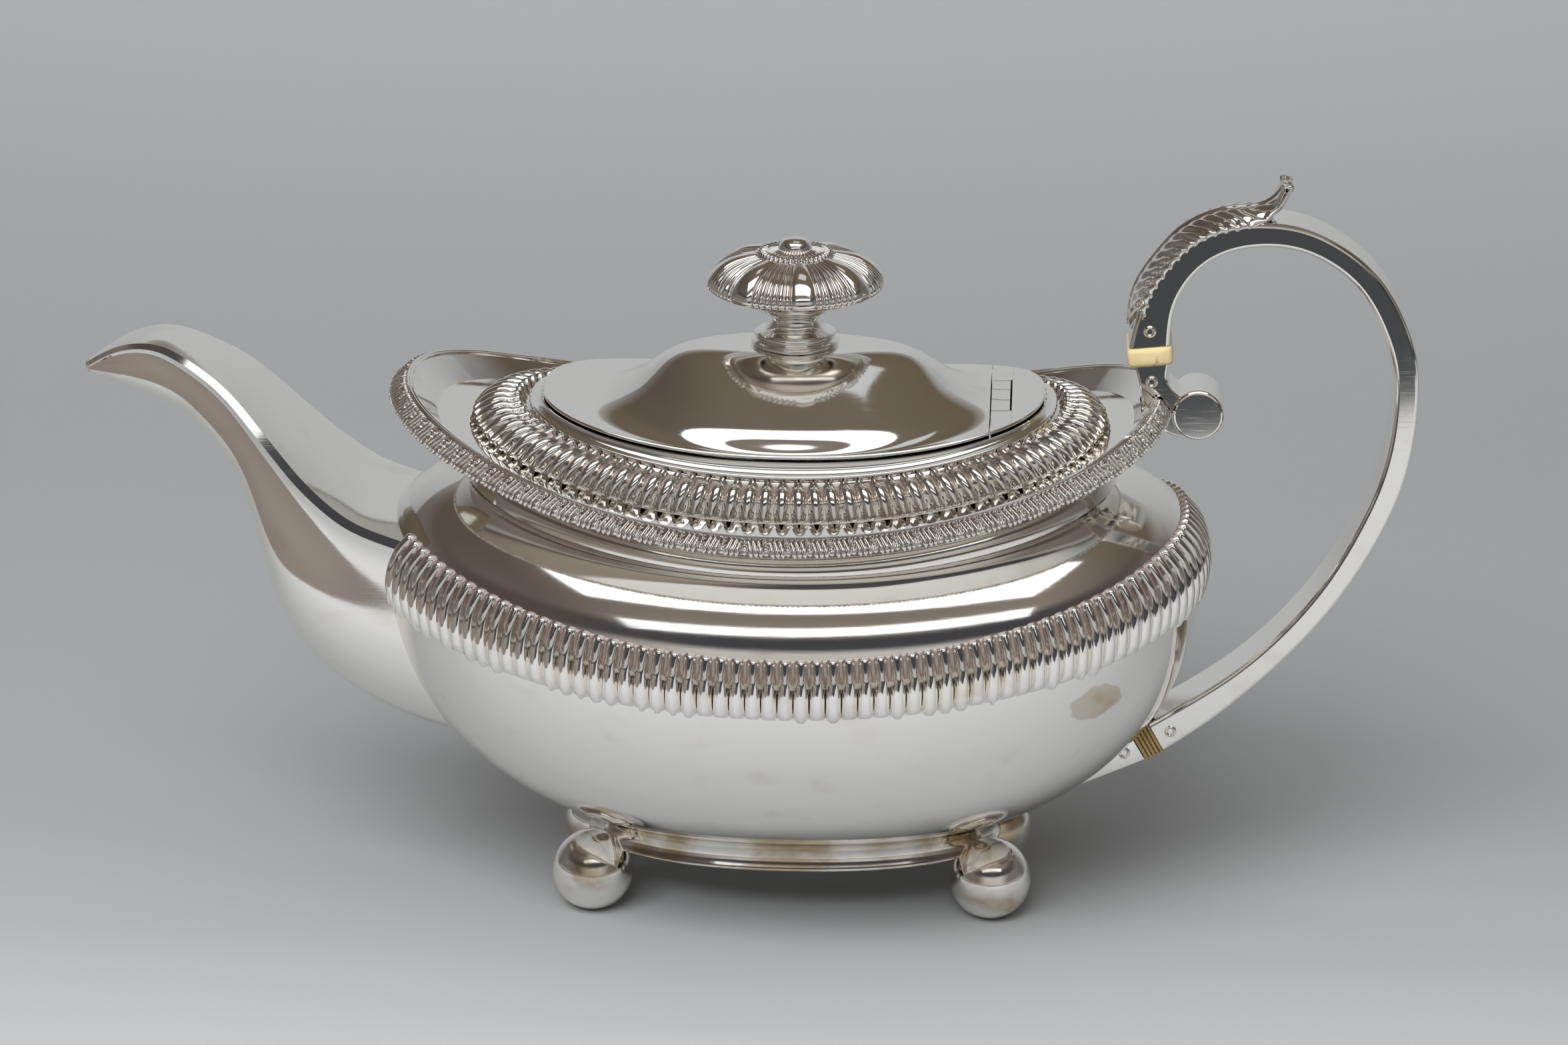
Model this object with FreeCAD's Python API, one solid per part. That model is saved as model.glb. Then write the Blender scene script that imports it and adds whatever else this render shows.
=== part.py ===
import FreeCAD, Part
import math
import os
from collections import namedtuple

# Boat-shaped silver teapot on four ball feet, with a lobed belly, a flared gadrooned rim,
# a flush-hinged domed cover, a broad beaked spout and a hollow loop handle.
# Millimetres, +Z up, spout towards -X, handle towards +X, feet on Z = 0.
# All heights named _z are heights above the table at the long sides of the pot, and each
# _rise is how much higher the same ring stands at the spout and handle ends.

# Sheet and seams
wall = 1.2
seam = 0.05
skin_gap = 0.5
plan_squareness = 2.2

# Ball feet
ball_diameter = 18.0
ball_spread_x = 88.0
ball_spread_y = 29.0
ball_flat = 0.25

# Foot ring, a cavetto under the bowl
foot_z = 14.0
foot_height = 7.3
foot_half_length = 45.5
foot_half_width = 25.5
foot_flare = 2.6
foot_waist = 0.9
foot_wall = 1.6

# Bowl and shoulder
belly_half_length = 91.0
belly_half_width = 58.8
belly_z = 67.0
belly_rise = 13.0
bowl_start_deg = 25.0
neck_half_length = 71.5
neck_half_width = 45.0
neck_z = 89.5
neck_rise = 9.5
rim_half_length = 87.0
rim_half_width = 55.2
rim_z = 97.6
rim_rise = 18.4
rim_sweep_deg = 45.0

# Lobed band round the belly
band_low_z = 62.5
band_low_rise = 12.0
band_high_z = 75.5
band_high_rise = 16.0
band_lobes = 130
band_lobe_height = 1.3

# Gadrooned border on the slope from the rim edge up to the brink of the cover plate
border_run = 2.1
border_lift = 2.1
border_drop = 0.3
border_gadroons = 100
border_lobe_height = 1.3
border_slant = 0.8
border_side_gap = 1.6

# Cover plate between the rim and the mouth
channel_half_length = 77.0
channel_half_width = 47.2
channel_z = 99.4
channel_rise = 14.0
flute_low_half_length = 69.5
flute_low_half_width = 42.6
flute_low_z = 99.6
flute_low_rise = 10.2
flute_high_half_length = 58.8
flute_high_half_width = 36.3
flute_high_z = 106.4
flute_high_rise = 7.6
flute_bulge = 1.3
flute_count = 98
flute_height = 1.3
step_run = 2.0
step_drop = 0.7
mouth_half_length = 41.0
mouth_half_width = 26.5
mouth_lip = 4.0
mouth_wall = 1.0

# Lid
lid_half_length = 54.5
lid_half_width = 33.0
lid_squareness = 2.5
lid_z = 111.9
lid_rise = 5.5
lid_flange = 0.9
lid_sheet = 1.2
lid_lift = 0.3
dome_half_length = 38.6
dome_half_width = 25.6
dome_height = 15.1
dome_crown_half_length = 20.6
dome_crown_half_width = 15.2
dome_seat_radius = 10.4
bezel_clearance = 0.6
bezel_depth = 5.0
bezel_wall = 1.0

# Finial
stem_foot_radius = 9.2
stem_foot_height = 1.0
stem_bead_radius = 8.2
stem_bead_height = 0.8
stem_neck_radius = 5.2
stem_cove = 2.4
stem_collar_radius = 7.6
stem_collar_height = 1.0
stem_height = 10.0
cap_radius = 18.7
cap_edge_height = 2.6
cap_height = 10.2
cap_petals = 8
petal_share = 0.4
cap_flutes = 6
ray_radius = 0.8
ray_depth = 0.5
button_radius = 3.5
button_height = 3.0
button_margin = 0.4
bolt_radius = 2.0
bolt_fit = 0.05
bolt_cover = 3.0
bolt_proud = 1.0
nut_radius = 4.5
nut_height = 2.4

# Flush hinge
hinge_x = 44.6
hinge_depth = 2.0
knuckle_radius = 2.2
knuckle_length = 7.2
knuckle_gap = 0.25
hinge_pin_radius = 0.9
hinge_pin_fit = 0.05
hinge_seam = 0.2
hinge_clearance = 0.3
hinge_web = 0.5
hinge_web_depth = 0.2

# Spout
spout_wall = 1.2
spout_reach = 154.0
spout_tip_z = 119.2
spout_panel_width = 45.6
spout_panel_z = 88.6
spout_belly_z = 43.0
spout_crown = 0.07
mouth_back = 10.5
strainer_radius = 13.0
strainer_sheet = 0.8
strainer_hole_radius = 1.5
strainer_pitch = 5.0
strainer_rim = 2.0
strainer_z = 64.0

# Handle
handle_width = 14.0
handle_reach = 133.7
handle_top_z = 157.3
handle_upper_x = 77.7
handle_upper_z = 129.0
handle_upper_depth = 9.0
handle_strap = 5.0
handle_lower_x = 79.8
handle_lower_z = 38.9
handle_lower_depth = 7.2
handle_lower_deg = 29.0
handle_round = 1.0
insulator_length = 4.4
insulator_proud = 0.5
insulator_round = 1.2
insulator_width = 14.6
socket_width = 12.6
volute_radius = 5.4
volute_x = 87.5
volute_z = 112.8
socket_pin_radius = 1.1
socket_pin_proud = 0.35
socket_pin_inset = 4.0
socket_lean = 0.4
socket_toe_rise = 7.0
leaf_width = 13.0
leaf_thickness = 1.6
leaf_tip_x = 104.1
leaf_tip_z = 167.2

# Height of a lobe across its width, as shares of its full height, starting in the groove
round_lobe = (0.2, 0.85, 1.0, 0.85)
flat_lobe = (0.2, 1.0, 1.0)

Ring = namedtuple("Ring", "length width square z_side z_end")


def vec(x, y, z):
    return FreeCAD.Vector(x, y, z)


def outline(ring, count):
    """Points and outward plan normals, evenly spaced round a squared-off ellipse."""
    dense = []
    for i in range(1441):
        turn = 2.0 * math.pi * i / 1440.0
        angle = math.atan2(ring.width * math.sin(turn), ring.length * math.cos(turn))
        cos_a = math.cos(angle)
        sin_a = math.sin(angle)
        reach = abs(cos_a / ring.length) ** ring.square + abs(sin_a / ring.width) ** ring.square
        radius = reach ** (-1.0 / ring.square)
        dense.append((radius * cos_a, radius * sin_a))
    travelled = [0.0]
    for (x0, y0), (x1, y1) in zip(dense, dense[1:]):
        travelled.append(travelled[-1] + math.hypot(x1 - x0, y1 - y0))
    points = []
    normals = []
    k = 0
    for i in range(count):
        goal = travelled[-1] * i / count
        while travelled[k + 1] < goal:
            k += 1
        share = (goal - travelled[k]) / (travelled[k + 1] - travelled[k])
        x = dense[k][0] + (dense[k + 1][0] - dense[k][0]) * share
        y = dense[k][1] + (dense[k + 1][1] - dense[k][1]) * share
        z = ring.z_side + (ring.z_end - ring.z_side) * (x / ring.length) ** 2
        gx = math.copysign(abs(x / ring.length) ** (ring.square - 1.0) / ring.length, x)
        gy = math.copysign(abs(y / ring.width) ** (ring.square - 1.0) / ring.width, y)
        norm = math.hypot(gx, gy)
        points.append(vec(x, y, z))
        normals.append(vec(gx / norm, gy / norm, 0.0))
    return points, normals


def closed_curve(points):
    """Smooth closed wire through evenly numbered points."""
    curve = Part.BSplineCurve()
    steps = [i / len(points) for i in range(len(points) + 1)]
    curve.interpolate(Points=points, PeriodicFlag=True, Parameters=steps)
    return Part.Wire([curve.toShape()])


def ring_wire(ring, count=48):
    return closed_curve(outline(ring, count)[0])


def annulus(wire_a, wire_b):
    return Part.makeRuledSurface(wire_a.Edges[0], wire_b.Edges[0])


def sewn(faces):
    """One solid from faces that meet edge to edge."""
    skin = Part.makeCompound(faces)
    skin.sewShape()
    solid = Part.makeSolid(skin.Shells[0])
    if solid.Volume < 0:
        solid.reverse()
    return solid


def skinned(wires, creases=()):
    """Smooth faces through a stack of closed wires, with a sharp line at each creased one."""
    stops = [0] + list(creases) + [len(wires) - 1]
    faces = []
    for start, stop in zip(stops, stops[1:]):
        faces += Part.makeLoft(wires[start:stop + 1], False, False).Faces
    return faces


def wall_between(outer, inner, creases=()):
    """Hollow wall from two stacks of closed wires, closed by an edge at each end."""
    faces = skinned(outer, creases) + skinned(inner, creases)
    faces.append(annulus(outer[0], inner[0]))
    faces.append(annulus(outer[-1], inner[-1]))
    return sewn(faces)


def pan_between(outer, inner, creases=()):
    """As wall_between, but each stack starts with a flat floor."""
    faces = skinned(outer, creases) + skinned(inner, creases)
    faces.append(Part.Face(outer[0]))
    faces.append(Part.Face(inner[0]))
    faces.append(annulus(outer[-1], inner[-1]))
    return sewn(faces)


def inset(rings, depth):
    """Rings moved square to their profile by a depth, inwards where it is positive."""
    moved = []
    for i, ring in enumerate(rings):
        low = rings[max(i - 1, 0)]
        high = rings[min(i + 1, len(rings) - 1)]
        end = math.hypot(high.length - low.length, high.z_end - low.z_end)
        side = math.hypot(high.width - low.width, high.z_side - low.z_side)
        moved.append(Ring(
            ring.length - depth * (high.z_end - low.z_end) / end,
            ring.width - depth * (high.z_side - low.z_side) / side,
            ring.square,
            ring.z_side + depth * (high.width - low.width) / side,
            ring.z_end + depth * (high.length - low.length) / end,
        ))
    return moved


def cylinder_y(radius, length, x, y, z):
    """Cylinder along Y, centred on a point."""
    return Part.makeCylinder(radius, length, vec(x, y - length / 2.0, z), vec(0, 1, 0))


def prism_y(points, width):
    """Straight-sided outline in the XZ plane, given a width across Y."""
    wire = Part.makePolygon([vec(x, -width / 2.0, z) for x, z in points + points[:1]])
    return Part.Face(wire).extrude(vec(0, width, 0))


def block(x0, x1, y0, y1, z0, z1):
    return Part.makeBox(x1 - x0, y1 - y0, z1 - z0, vec(x0, y0, z0))


def largest(shape):
    return max(shape.Solids, key=lambda solid: solid.Volume)


# Profile of the body wall. The bowl is an arc from the foot to the belly, the shoulder an
# arc from the belly in to the neck, and the flare an arc from the neck out to the rim.

foot_top_z = foot_z + foot_height
foot_top_half_length = foot_half_length + foot_flare
foot_top_half_width = foot_half_width + foot_flare


def bowl_ring(degrees):
    start = math.radians(bowl_start_deg)
    angle = math.radians(degrees)
    out = (math.sin(angle) - math.sin(start)) / (1.0 - math.sin(start))
    up = (math.cos(start) - math.cos(angle)) / math.cos(start)
    return Ring(
        foot_top_half_length + (belly_half_length - foot_top_half_length) * out,
        foot_top_half_width + (belly_half_width - foot_top_half_width) * out,
        plan_squareness,
        foot_top_z + (belly_z - foot_top_z) * up,
        foot_top_z + (belly_z + belly_rise - foot_top_z) * up,
    )


def shoulder_ring(degrees):
    angle = math.radians(degrees)
    end_height = neck_z + neck_rise - belly_z - belly_rise
    return Ring(
        neck_half_length + (belly_half_length - neck_half_length) * math.cos(angle),
        neck_half_width + (belly_half_width - neck_half_width) * math.cos(angle),
        plan_squareness,
        belly_z + (neck_z - belly_z) * math.sin(angle),
        belly_z + belly_rise + end_height * math.sin(angle),
    )


def flare_ring(degrees):
    angle = math.radians(degrees)
    full = math.radians(rim_sweep_deg)
    out = (1.0 - math.cos(angle)) / (1.0 - math.cos(full))
    up = math.sin(angle) / math.sin(full)
    end_height = rim_z + rim_rise - neck_z - neck_rise
    return Ring(
        neck_half_length + (rim_half_length - neck_half_length) * out,
        neck_half_width + (rim_half_width - neck_half_width) * out,
        plan_squareness,
        neck_z + (rim_z - neck_z) * up,
        neck_z + neck_rise + end_height * up,
    )


def wall_reach(height, foot, belly, neck, crest_z, top_z):
    """How far the bowl or the shoulder stands from the pot's middle at a height."""
    if height > crest_z:
        sine = (height - crest_z) / (top_z - crest_z)
        return neck + (belly - neck) * math.sqrt(1.0 - sine * sine)
    start = math.radians(bowl_start_deg)
    cosine = math.cos(start) * (1.0 - (height - foot_top_z) / (crest_z - foot_top_z))
    out = (math.sqrt(1.0 - cosine * cosine) - math.sin(start)) / (1.0 - math.sin(start))
    return foot + (belly - foot) * out


def body_half_length(height):
    return wall_reach(height, foot_top_half_length, belly_half_length, neck_half_length,
                      belly_z + belly_rise, neck_z + neck_rise)


def body_half_width(height):
    return wall_reach(height, foot_top_half_width, belly_half_width, neck_half_width,
                      belly_z, neck_z)


def body_ring(z_side, z_end):
    """Ring that lies on the body wall at given heights of the sides and the ends."""
    return Ring(body_half_length(z_end), body_half_width(z_side), plan_squareness, z_side, z_end)


def foot_rings():
    """Low edge, waist and top edge of the hollow-sided foot ring."""
    hollow = foot_flare / 2.0 - foot_waist
    waist_z = foot_z + foot_height / 2.0
    top_z = foot_top_z - seam
    return [
        Ring(foot_half_length, foot_half_width, plan_squareness, foot_z, foot_z),
        Ring(foot_half_length + hollow, foot_half_width + hollow, plan_squareness, waist_z, waist_z),
        Ring(foot_top_half_length, foot_top_half_width, plan_squareness, top_z, top_z),
    ]


def foot_ring():
    rings = foot_rings()
    inner = [r._replace(length=r.length - foot_wall, width=r.width - foot_wall) for r in rings]
    return wall_between([ring_wire(r) for r in rings], [ring_wire(r) for r in inner])


def foot_core():
    """The foot ring filled in, for seating the ball feet against it."""
    wires = [ring_wire(r) for r in foot_rings()]
    return sewn(skinned(wires) + [Part.Face(wires[0]), Part.Face(wires[-1])])


def ball_foot(side_x, side_y, core):
    radius = ball_diameter / 2.0
    centre = vec(side_x * ball_spread_x / 2.0, side_y * ball_spread_y / 2.0, radius - ball_flat)
    ball = Part.makeSphere(radius, centre)
    floor = Part.makeBox(4 * radius, 4 * radius, 2 * radius,
                         centre + vec(-2 * radius, -2 * radius, -centre.z - 2 * radius))
    return largest(ball.cut(floor).cut(core))


def bowl_rings():
    """Rings of the bowl, from the edge of its flat floor up to the belly."""
    sweep = 90.0 - bowl_start_deg
    return [bowl_ring(bowl_start_deg + sweep * k / 6.0) for k in range(7)]


def lower_bowl():
    rings = bowl_rings()
    inner = inset(rings, wall)
    inner[0] = inner[0]._replace(z_side=rings[0].z_side + wall, z_end=rings[0].z_end + wall)
    inner[-1] = inner[-1]._replace(z_side=rings[-1].z_side, z_end=rings[-1].z_end)
    return pan_between([ring_wire(r) for r in rings], [ring_wire(r) for r in inner])


def body_core():
    """The pot filled in up to its neck, for seating what is soldered to its outside."""
    wires = [ring_wire(r) for r in bowl_rings() + shoulder_rings()[1:]]
    middle = ring_wire(Ring(neck_half_length / 4.0, neck_half_width / 4.0, plan_squareness, neck_z, neck_z))
    top = [annulus(wires[-1], middle), Part.Face(middle)]
    return sewn(skinned(wires, (len(bowl_rings()) - 1,)) + [Part.Face(wires[0])] + top)


def shoulder_rings():
    """Rings of the shoulder, from the belly in to the neck."""
    return [shoulder_ring(18.0 * k) for k in range(6)]


def shoulder():
    rings = shoulder_rings() + [flare_ring(rim_sweep_deg * k / 3.0) for k in range(1, 4)]
    inner = inset(rings, wall)
    rings[0] = rings[0]._replace(z_side=belly_z + seam, z_end=belly_z + belly_rise + seam)
    inner[0] = inner[0]._replace(z_side=belly_z + seam, z_end=belly_z + belly_rise + seam)
    return wall_between([ring_wire(r) for r in rings], [ring_wire(r) for r in inner])


def faceted(rows):
    """Solid strip bounded by triangles, from rows of points that go once round its section."""
    faces = []

    def triangle(a, b, c):
        faces.append(Part.Face(Part.makePolygon([a, b, c, a])))

    for row, following in zip(rows, rows[1:] + rows[:1]):
        for i in range(len(row) - 1):
            triangle(row[i], row[i + 1], following[i + 1])
            triangle(row[i], following[i + 1], following[i])
    for end in (0, -1):
        for k in range(len(rows) - 2):
            triangle(rows[-1][end], rows[k][end], rows[k + 1][end])
    return sewn(faces)


def lobed_strip(rings, lobes, shares, lobe_height, slant, gap_end, gap_half_width):
    """Strip of rounded lobes that lies on the surface through an odd number of rings.

    The rings run from its low edge over its middle to its high edge. Every lobe rises from both
    edges by shares of lobe_height, from the groove beside it round to the next, and leans by
    slant lobes. The strip stops on both sides of a gap at one end of the pot.
    """
    count = lobes * len(shares)
    back = [outline(ring, count)[0] for ring in rings]
    low, middle, high = back[0], back[len(back) // 2], back[-1]
    kept = [i for i in range(count)
            if low[i].x * gap_end < 0.0 or abs(low[i].y) > gap_half_width]
    if gap_end < 0.0:
        kept = [i for i in kept if low[i].y < 0.0] + [i for i in kept if low[i].y >= 0.0]
    rows = [[low[i] for i in kept]]
    for share in (0.16, 0.5, 0.84):
        blend_low = (1.0 - share) * (1.0 - 2.0 * share)
        blend_middle = 4.0 * share * (1.0 - share)
        blend_high = share * (2.0 * share - 1.0)
        row = []
        for i in kept:
            point = low[i] * blend_low + middle[i] * blend_middle + high[i] * blend_high
            along = low[(i + 1) % count] - low[i - 1]
            across = high[i] - low[i]
            lean = along * (0.5 * len(shares) * slant * (share - 0.5))
            normal = along.cross(across).normalize()
            lift = lobe_height * shares[i % len(shares)] * (1.0 if share == 0.5 else 0.8)
            row.append(point + lean + normal * lift)
        rows.append(row)
    rows += [[points[i] for i in kept] for points in reversed(back[1:])]
    return faceted(rows)


def band_rings():
    """Rings across the lobed band, from its low edge to its high edge, on the wall of the pot."""
    low_end = band_low_z + band_low_rise
    high_end = band_high_z + band_high_rise
    rings = []
    for k in range(5):
        share = k / 4.0
        rings.append(body_ring(band_low_z + (band_high_z - band_low_z) * share,
                               low_end + (high_end - low_end) * share))
    return inset(rings, -skin_gap)


def lobed_band():
    """Belly lobes, which stop at the cheeks of the spout."""
    return lobed_strip(band_rings(), band_lobes, round_lobe, band_lobe_height, 0.0,
                       -1.0, spout_panel_width / 2.0 + skin_gap)


def seat_ring(half_length, half_width, squareness, above):
    """Ring on the sagging seat of the lid, or a height above that seat."""
    sag = lid_rise / lid_half_length ** 2
    side = lid_z - lid_flange - lid_lift + above
    return Ring(half_length, half_width, squareness, side, side + sag * half_length ** 2)


def cover_edge():
    """Outer edge of the cover plate, resting on the inner edge of the flared rim."""
    before = flare_ring(rim_sweep_deg * 2.0 / 3.0)
    edge = inset([before, flare_ring(rim_sweep_deg)], wall)[-1]
    return edge._replace(z_side=edge.z_side + seam + wall, z_end=edge.z_end + seam + wall)


def cover_brink():
    """Highest line of the cover plate, at the inner edge of the border."""
    edge = cover_edge()
    return edge._replace(length=edge.length - border_run, width=edge.width - border_run,
                         z_side=edge.z_side + border_lift, z_end=edge.z_end + border_lift)


def flute_rings():
    """Low edge, bulging middle and high edge of the fluted collar on the cover plate."""
    low = Ring(flute_low_half_length, flute_low_half_width, plan_squareness,
               flute_low_z, flute_low_z + flute_low_rise)
    high = Ring(flute_high_half_length, flute_high_half_width, plan_squareness,
                flute_high_z, flute_high_z + flute_high_rise)
    middle = Ring(*[(a + b) / 2.0 for a, b in zip(low, high)])
    return [low, inset([low, middle, high], -flute_bulge)[1], high]


def cover_rings():
    channel = Ring(channel_half_length, channel_half_width, plan_squareness,
                   channel_z, channel_z + channel_rise)
    step = seat_ring(lid_half_length + step_run, lid_half_width + step_run, lid_squareness, -step_drop)
    seat = seat_ring(lid_half_length - step_run, lid_half_width - step_run, lid_squareness, 0.0)
    middle_length = (lid_half_length - step_run + mouth_half_length) / 2.0
    middle_width = (lid_half_width - step_run + mouth_half_width) / 2.0
    middle = seat_ring(middle_length, middle_width, lid_squareness, 0.0)
    mouth = seat_ring(mouth_half_length, mouth_half_width, plan_squareness, 0.0)
    return [cover_edge(), cover_brink(), channel] + flute_rings() + [step, seat, middle, mouth]


def flange_top_z(x):
    """Height of the top of the lid flange along the middle of the pot."""
    return lid_z + lid_rise * (x / lid_half_length) ** 2


def hinge_axis_z():
    """Height of the hinge line, below the top of the lid flange where the line crosses it."""
    return flange_top_z(hinge_x) - hinge_depth


def hinge_zone():
    """Half the length of the three knuckles with the gaps between them."""
    return 1.5 * knuckle_length + knuckle_gap


def cover_plate():
    rings = cover_rings()
    under = inset(rings, wall)
    under[0] = rings[0]._replace(z_side=rings[0].z_side - wall, z_end=rings[0].z_end - wall)
    under[-1] = rings[-1]._replace(z_side=rings[-1].z_side - wall, z_end=rings[-1].z_end - wall)
    plate = wall_between([ring_wire(r) for r in rings], [ring_wire(r) for r in under], (1, 3, 5, 6, 7))
    relief = cylinder_y(knuckle_radius + hinge_clearance, 2.0 * hinge_zone() + 2.0 * hinge_clearance,
                        hinge_x, 0.0, hinge_axis_z())
    half = socket_width / 2.0
    gate = block(handle_upper_x, 2.0 * rim_half_length, -half, half, rings[0].z_end, rings[1].z_end + wall)
    return largest(plate.cut([relief, gate]))


def mouth_ring():
    """Plain band under the cover plate that the bezel of the lid drops into."""
    top = seat_ring(mouth_half_length, mouth_half_width, plan_squareness, -wall - seam)
    low_z = top.z_side - mouth_lip
    low = top._replace(z_side=low_z, z_end=low_z)
    grown = [r._replace(length=r.length + mouth_wall, width=r.width + mouth_wall) for r in (top, low)]
    grown[0] = seat_ring(mouth_half_length + mouth_wall, mouth_half_width + mouth_wall,
                         plan_squareness, -wall - seam)
    return wall_between([ring_wire(r) for r in grown], [ring_wire(r) for r in (top, low)])


def fluted_collar():
    """Flutes round the cover plate, parted under the hinge end."""
    return lobed_strip(inset(flute_rings(), -skin_gap), flute_count, flat_lobe, flute_height, 0.0, 1.0, seam)


def border_rings():
    """Low outer edge, middle and inner edge of the border on the slope of the rim."""
    rim = flare_ring(rim_sweep_deg)
    edge = cover_edge()
    brink = cover_brink()
    low = rim._replace(length=rim.length + border_drop, width=rim.width + border_drop,
                       z_side=rim.z_side - border_drop, z_end=rim.z_end - border_drop)
    crown = edge._replace(length=edge.length + 2.0 * border_drop, width=edge.width + 2.0 * border_drop,
                          z_side=edge.z_side + border_drop, z_end=edge.z_end + border_drop)
    inner = brink._replace(length=brink.length + border_drop, width=brink.width + border_drop,
                           z_side=brink.z_side + border_drop, z_end=brink.z_end + border_drop)
    return [low, crown, inner]


def gadroon_border():
    """Leaning gadroons along the rim, which stop at the sides of the upper socket."""
    return lobed_strip(border_rings(), border_gadroons, flat_lobe, border_lobe_height, border_slant,
                       1.0, socket_width / 2.0 + border_side_gap)


def lid_rings():
    """Top of the lid, from the flange edge over the hollow sweep to the finial seat."""
    top = lid_flange + lid_lift
    flange = seat_ring(lid_half_length, lid_half_width, lid_squareness, top)
    rings = [flange]
    for share, height in ((0.30, 0.0), (0.58, 0.004), (0.82, 0.035), (1.0, 0.11)):
        length = lid_half_length + (dome_half_length - lid_half_length) * share
        width = lid_half_width + (dome_half_width - lid_half_width) * share
        squareness = lid_squareness + (plan_squareness - lid_squareness) * share
        rings.append(seat_ring(length, width, squareness, top + height * dome_height))
    for share, height in ((0.28, 0.42), (0.51, 0.71), (0.73, 0.885), (1.0, 0.97)):
        length = dome_half_length + (dome_crown_half_length - dome_half_length) * share
        width = dome_half_width + (dome_crown_half_width - dome_half_width) * share
        ring = seat_ring(length, width, plan_squareness, top + height * dome_height)
        fade = ring.z_side + (ring.z_end - ring.z_side) * (1.0 - share)
        rings.append(ring._replace(z_end=fade))
    crown_z = lid_z + dome_height
    rings.append(Ring(dome_seat_radius, dome_seat_radius, 2.0, crown_z, crown_z))
    return rings


def lid_blank():
    rings = lid_rings()
    under = inset(rings, lid_sheet)
    for k in range(3):
        under[k] = rings[k]._replace(z_side=rings[k].z_side - lid_flange, z_end=rings[k].z_end - lid_flange)
    under[-1] = rings[-1]._replace(z_side=rings[-1].z_side - lid_sheet, z_end=rings[-1].z_end - lid_sheet)
    top = [ring_wire(r) for r in reversed(rings)]
    return pan_between(top, [ring_wire(r) for r in reversed(under)], (1, len(top) - 3, len(top) - 2))


def knuckle(y, bore):
    length = knuckle_length - knuckle_gap
    barrel = cylinder_y(knuckle_radius, length, hinge_x, y, hinge_axis_z())
    return barrel, cylinder_y(bore, 3.0 * length, hinge_x, y, hinge_axis_z())


def lid(blank):
    """Lid with its flange cut at the hinge line, hollowed there and given the middle knuckle."""
    axis_z = hinge_axis_z()
    edge_x = hinge_x - knuckle_radius - hinge_seam
    far = 2.0 * lid_half_length
    corner = math.hypot(knuckle_radius, hinge_depth) + hinge_clearance
    shape = blank.cut(block(edge_x, far, -far, far, 0.0, 2.0 * axis_z))
    shape = shape.cut(cylinder_y(corner, 2.0 * far, hinge_x, 0.0, axis_z))
    barrel, bore = knuckle(0.0, hinge_pin_radius + hinge_pin_fit)
    half = knuckle_length / 2.0 - knuckle_gap
    web_x = edge_x - corner + knuckle_radius
    web_z = flange_top_z(web_x) - hinge_web_depth
    web = block(web_x, hinge_x, -half, half, web_z - hinge_web, web_z)
    bolt_hole = Part.makeCylinder(bolt_radius + bolt_fit, 2.0 * dome_height, vec(0, 0, lid_z))
    return largest(shape.fuse([barrel, web]).cut(bore).cut(bolt_hole))


def hinge_plate(blank):
    """Fixed end of the flange beyond the hinge line, with the two outer knuckles."""
    axis_z = hinge_axis_z()
    far = 2.0 * lid_half_length
    zone = hinge_zone()
    notch_x = hinge_x + knuckle_radius + hinge_clearance
    plate = blank.common(block(hinge_x - knuckle_radius, far, -far, far, 0.0, 2.0 * axis_z))
    plate = plate.cut(block(0.0, notch_x, -zone, zone, 0.0, 2.0 * axis_z))
    web_z = flange_top_z(notch_x) - hinge_web_depth
    half = (knuckle_length - knuckle_gap) / 2.0
    for side in (-1.0, 1.0):
        y = side * knuckle_length
        barrel, bore = knuckle(y, hinge_pin_radius + hinge_pin_fit)
        web = block(hinge_x, notch_x + lid_sheet, y - half, y + half, web_z - hinge_web, web_z)
        plate = plate.fuse([barrel, web]).cut(bore)
    return largest(plate)


def hinge_pin():
    return cylinder_y(hinge_pin_radius, 2.0 * hinge_zone() - knuckle_gap, hinge_x, 0.0, hinge_axis_z())


def lid_bezel():
    """Plain band under the lid that centres it in the mouth."""
    length = mouth_half_length - bezel_clearance
    width = mouth_half_width - bezel_clearance
    top = seat_ring(length, width, plan_squareness, lid_lift - seam)
    low_z = top.z_side - bezel_depth
    outer = [top, top._replace(z_side=low_z, z_end=low_z)]
    inner_top = seat_ring(length - bezel_wall, width - bezel_wall, plan_squareness, lid_lift - seam)
    inner = [inner_top, inner_top._replace(z_side=low_z, z_end=low_z)]
    return wall_between([ring_wire(r) for r in outer], [ring_wire(r) for r in inner])


def turned(points):
    """Solid of revolution about Z from a closed outline of radius and height."""
    wire = Part.makePolygon([vec(r, 0, z) for r, z in points + points[:1]])
    return Part.Face(wire).revolve(vec(0, 0, 0), vec(0, 0, 1), 360)


def finial_stem():
    """Stepped foot, bead, hollow neck and collar, bored for the bolt."""
    base = lid_z + dome_height + seam
    bore = bolt_radius + bolt_fit
    bead_z = base + stem_foot_height + stem_bead_height
    cove_z = bead_z + stem_bead_height
    cove_r = (stem_neck_radius + stem_bead_radius) / 2.0
    top = base + stem_height
    return turned([
        (bore, base), (stem_foot_radius, base), (stem_foot_radius, base + stem_foot_height),
        (stem_bead_radius, bead_z), (stem_bead_radius, cove_z),
        (cove_r, cove_z + stem_cove / 3.0), (stem_neck_radius, cove_z + stem_cove),
        (stem_neck_radius, top - 2.0 * stem_collar_height),
        (stem_collar_radius, top - stem_collar_height), (stem_collar_radius, top), (bore, top),
    ])


def cap_base_z():
    return lid_z + dome_height + stem_height + 2.0 * seam


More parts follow.
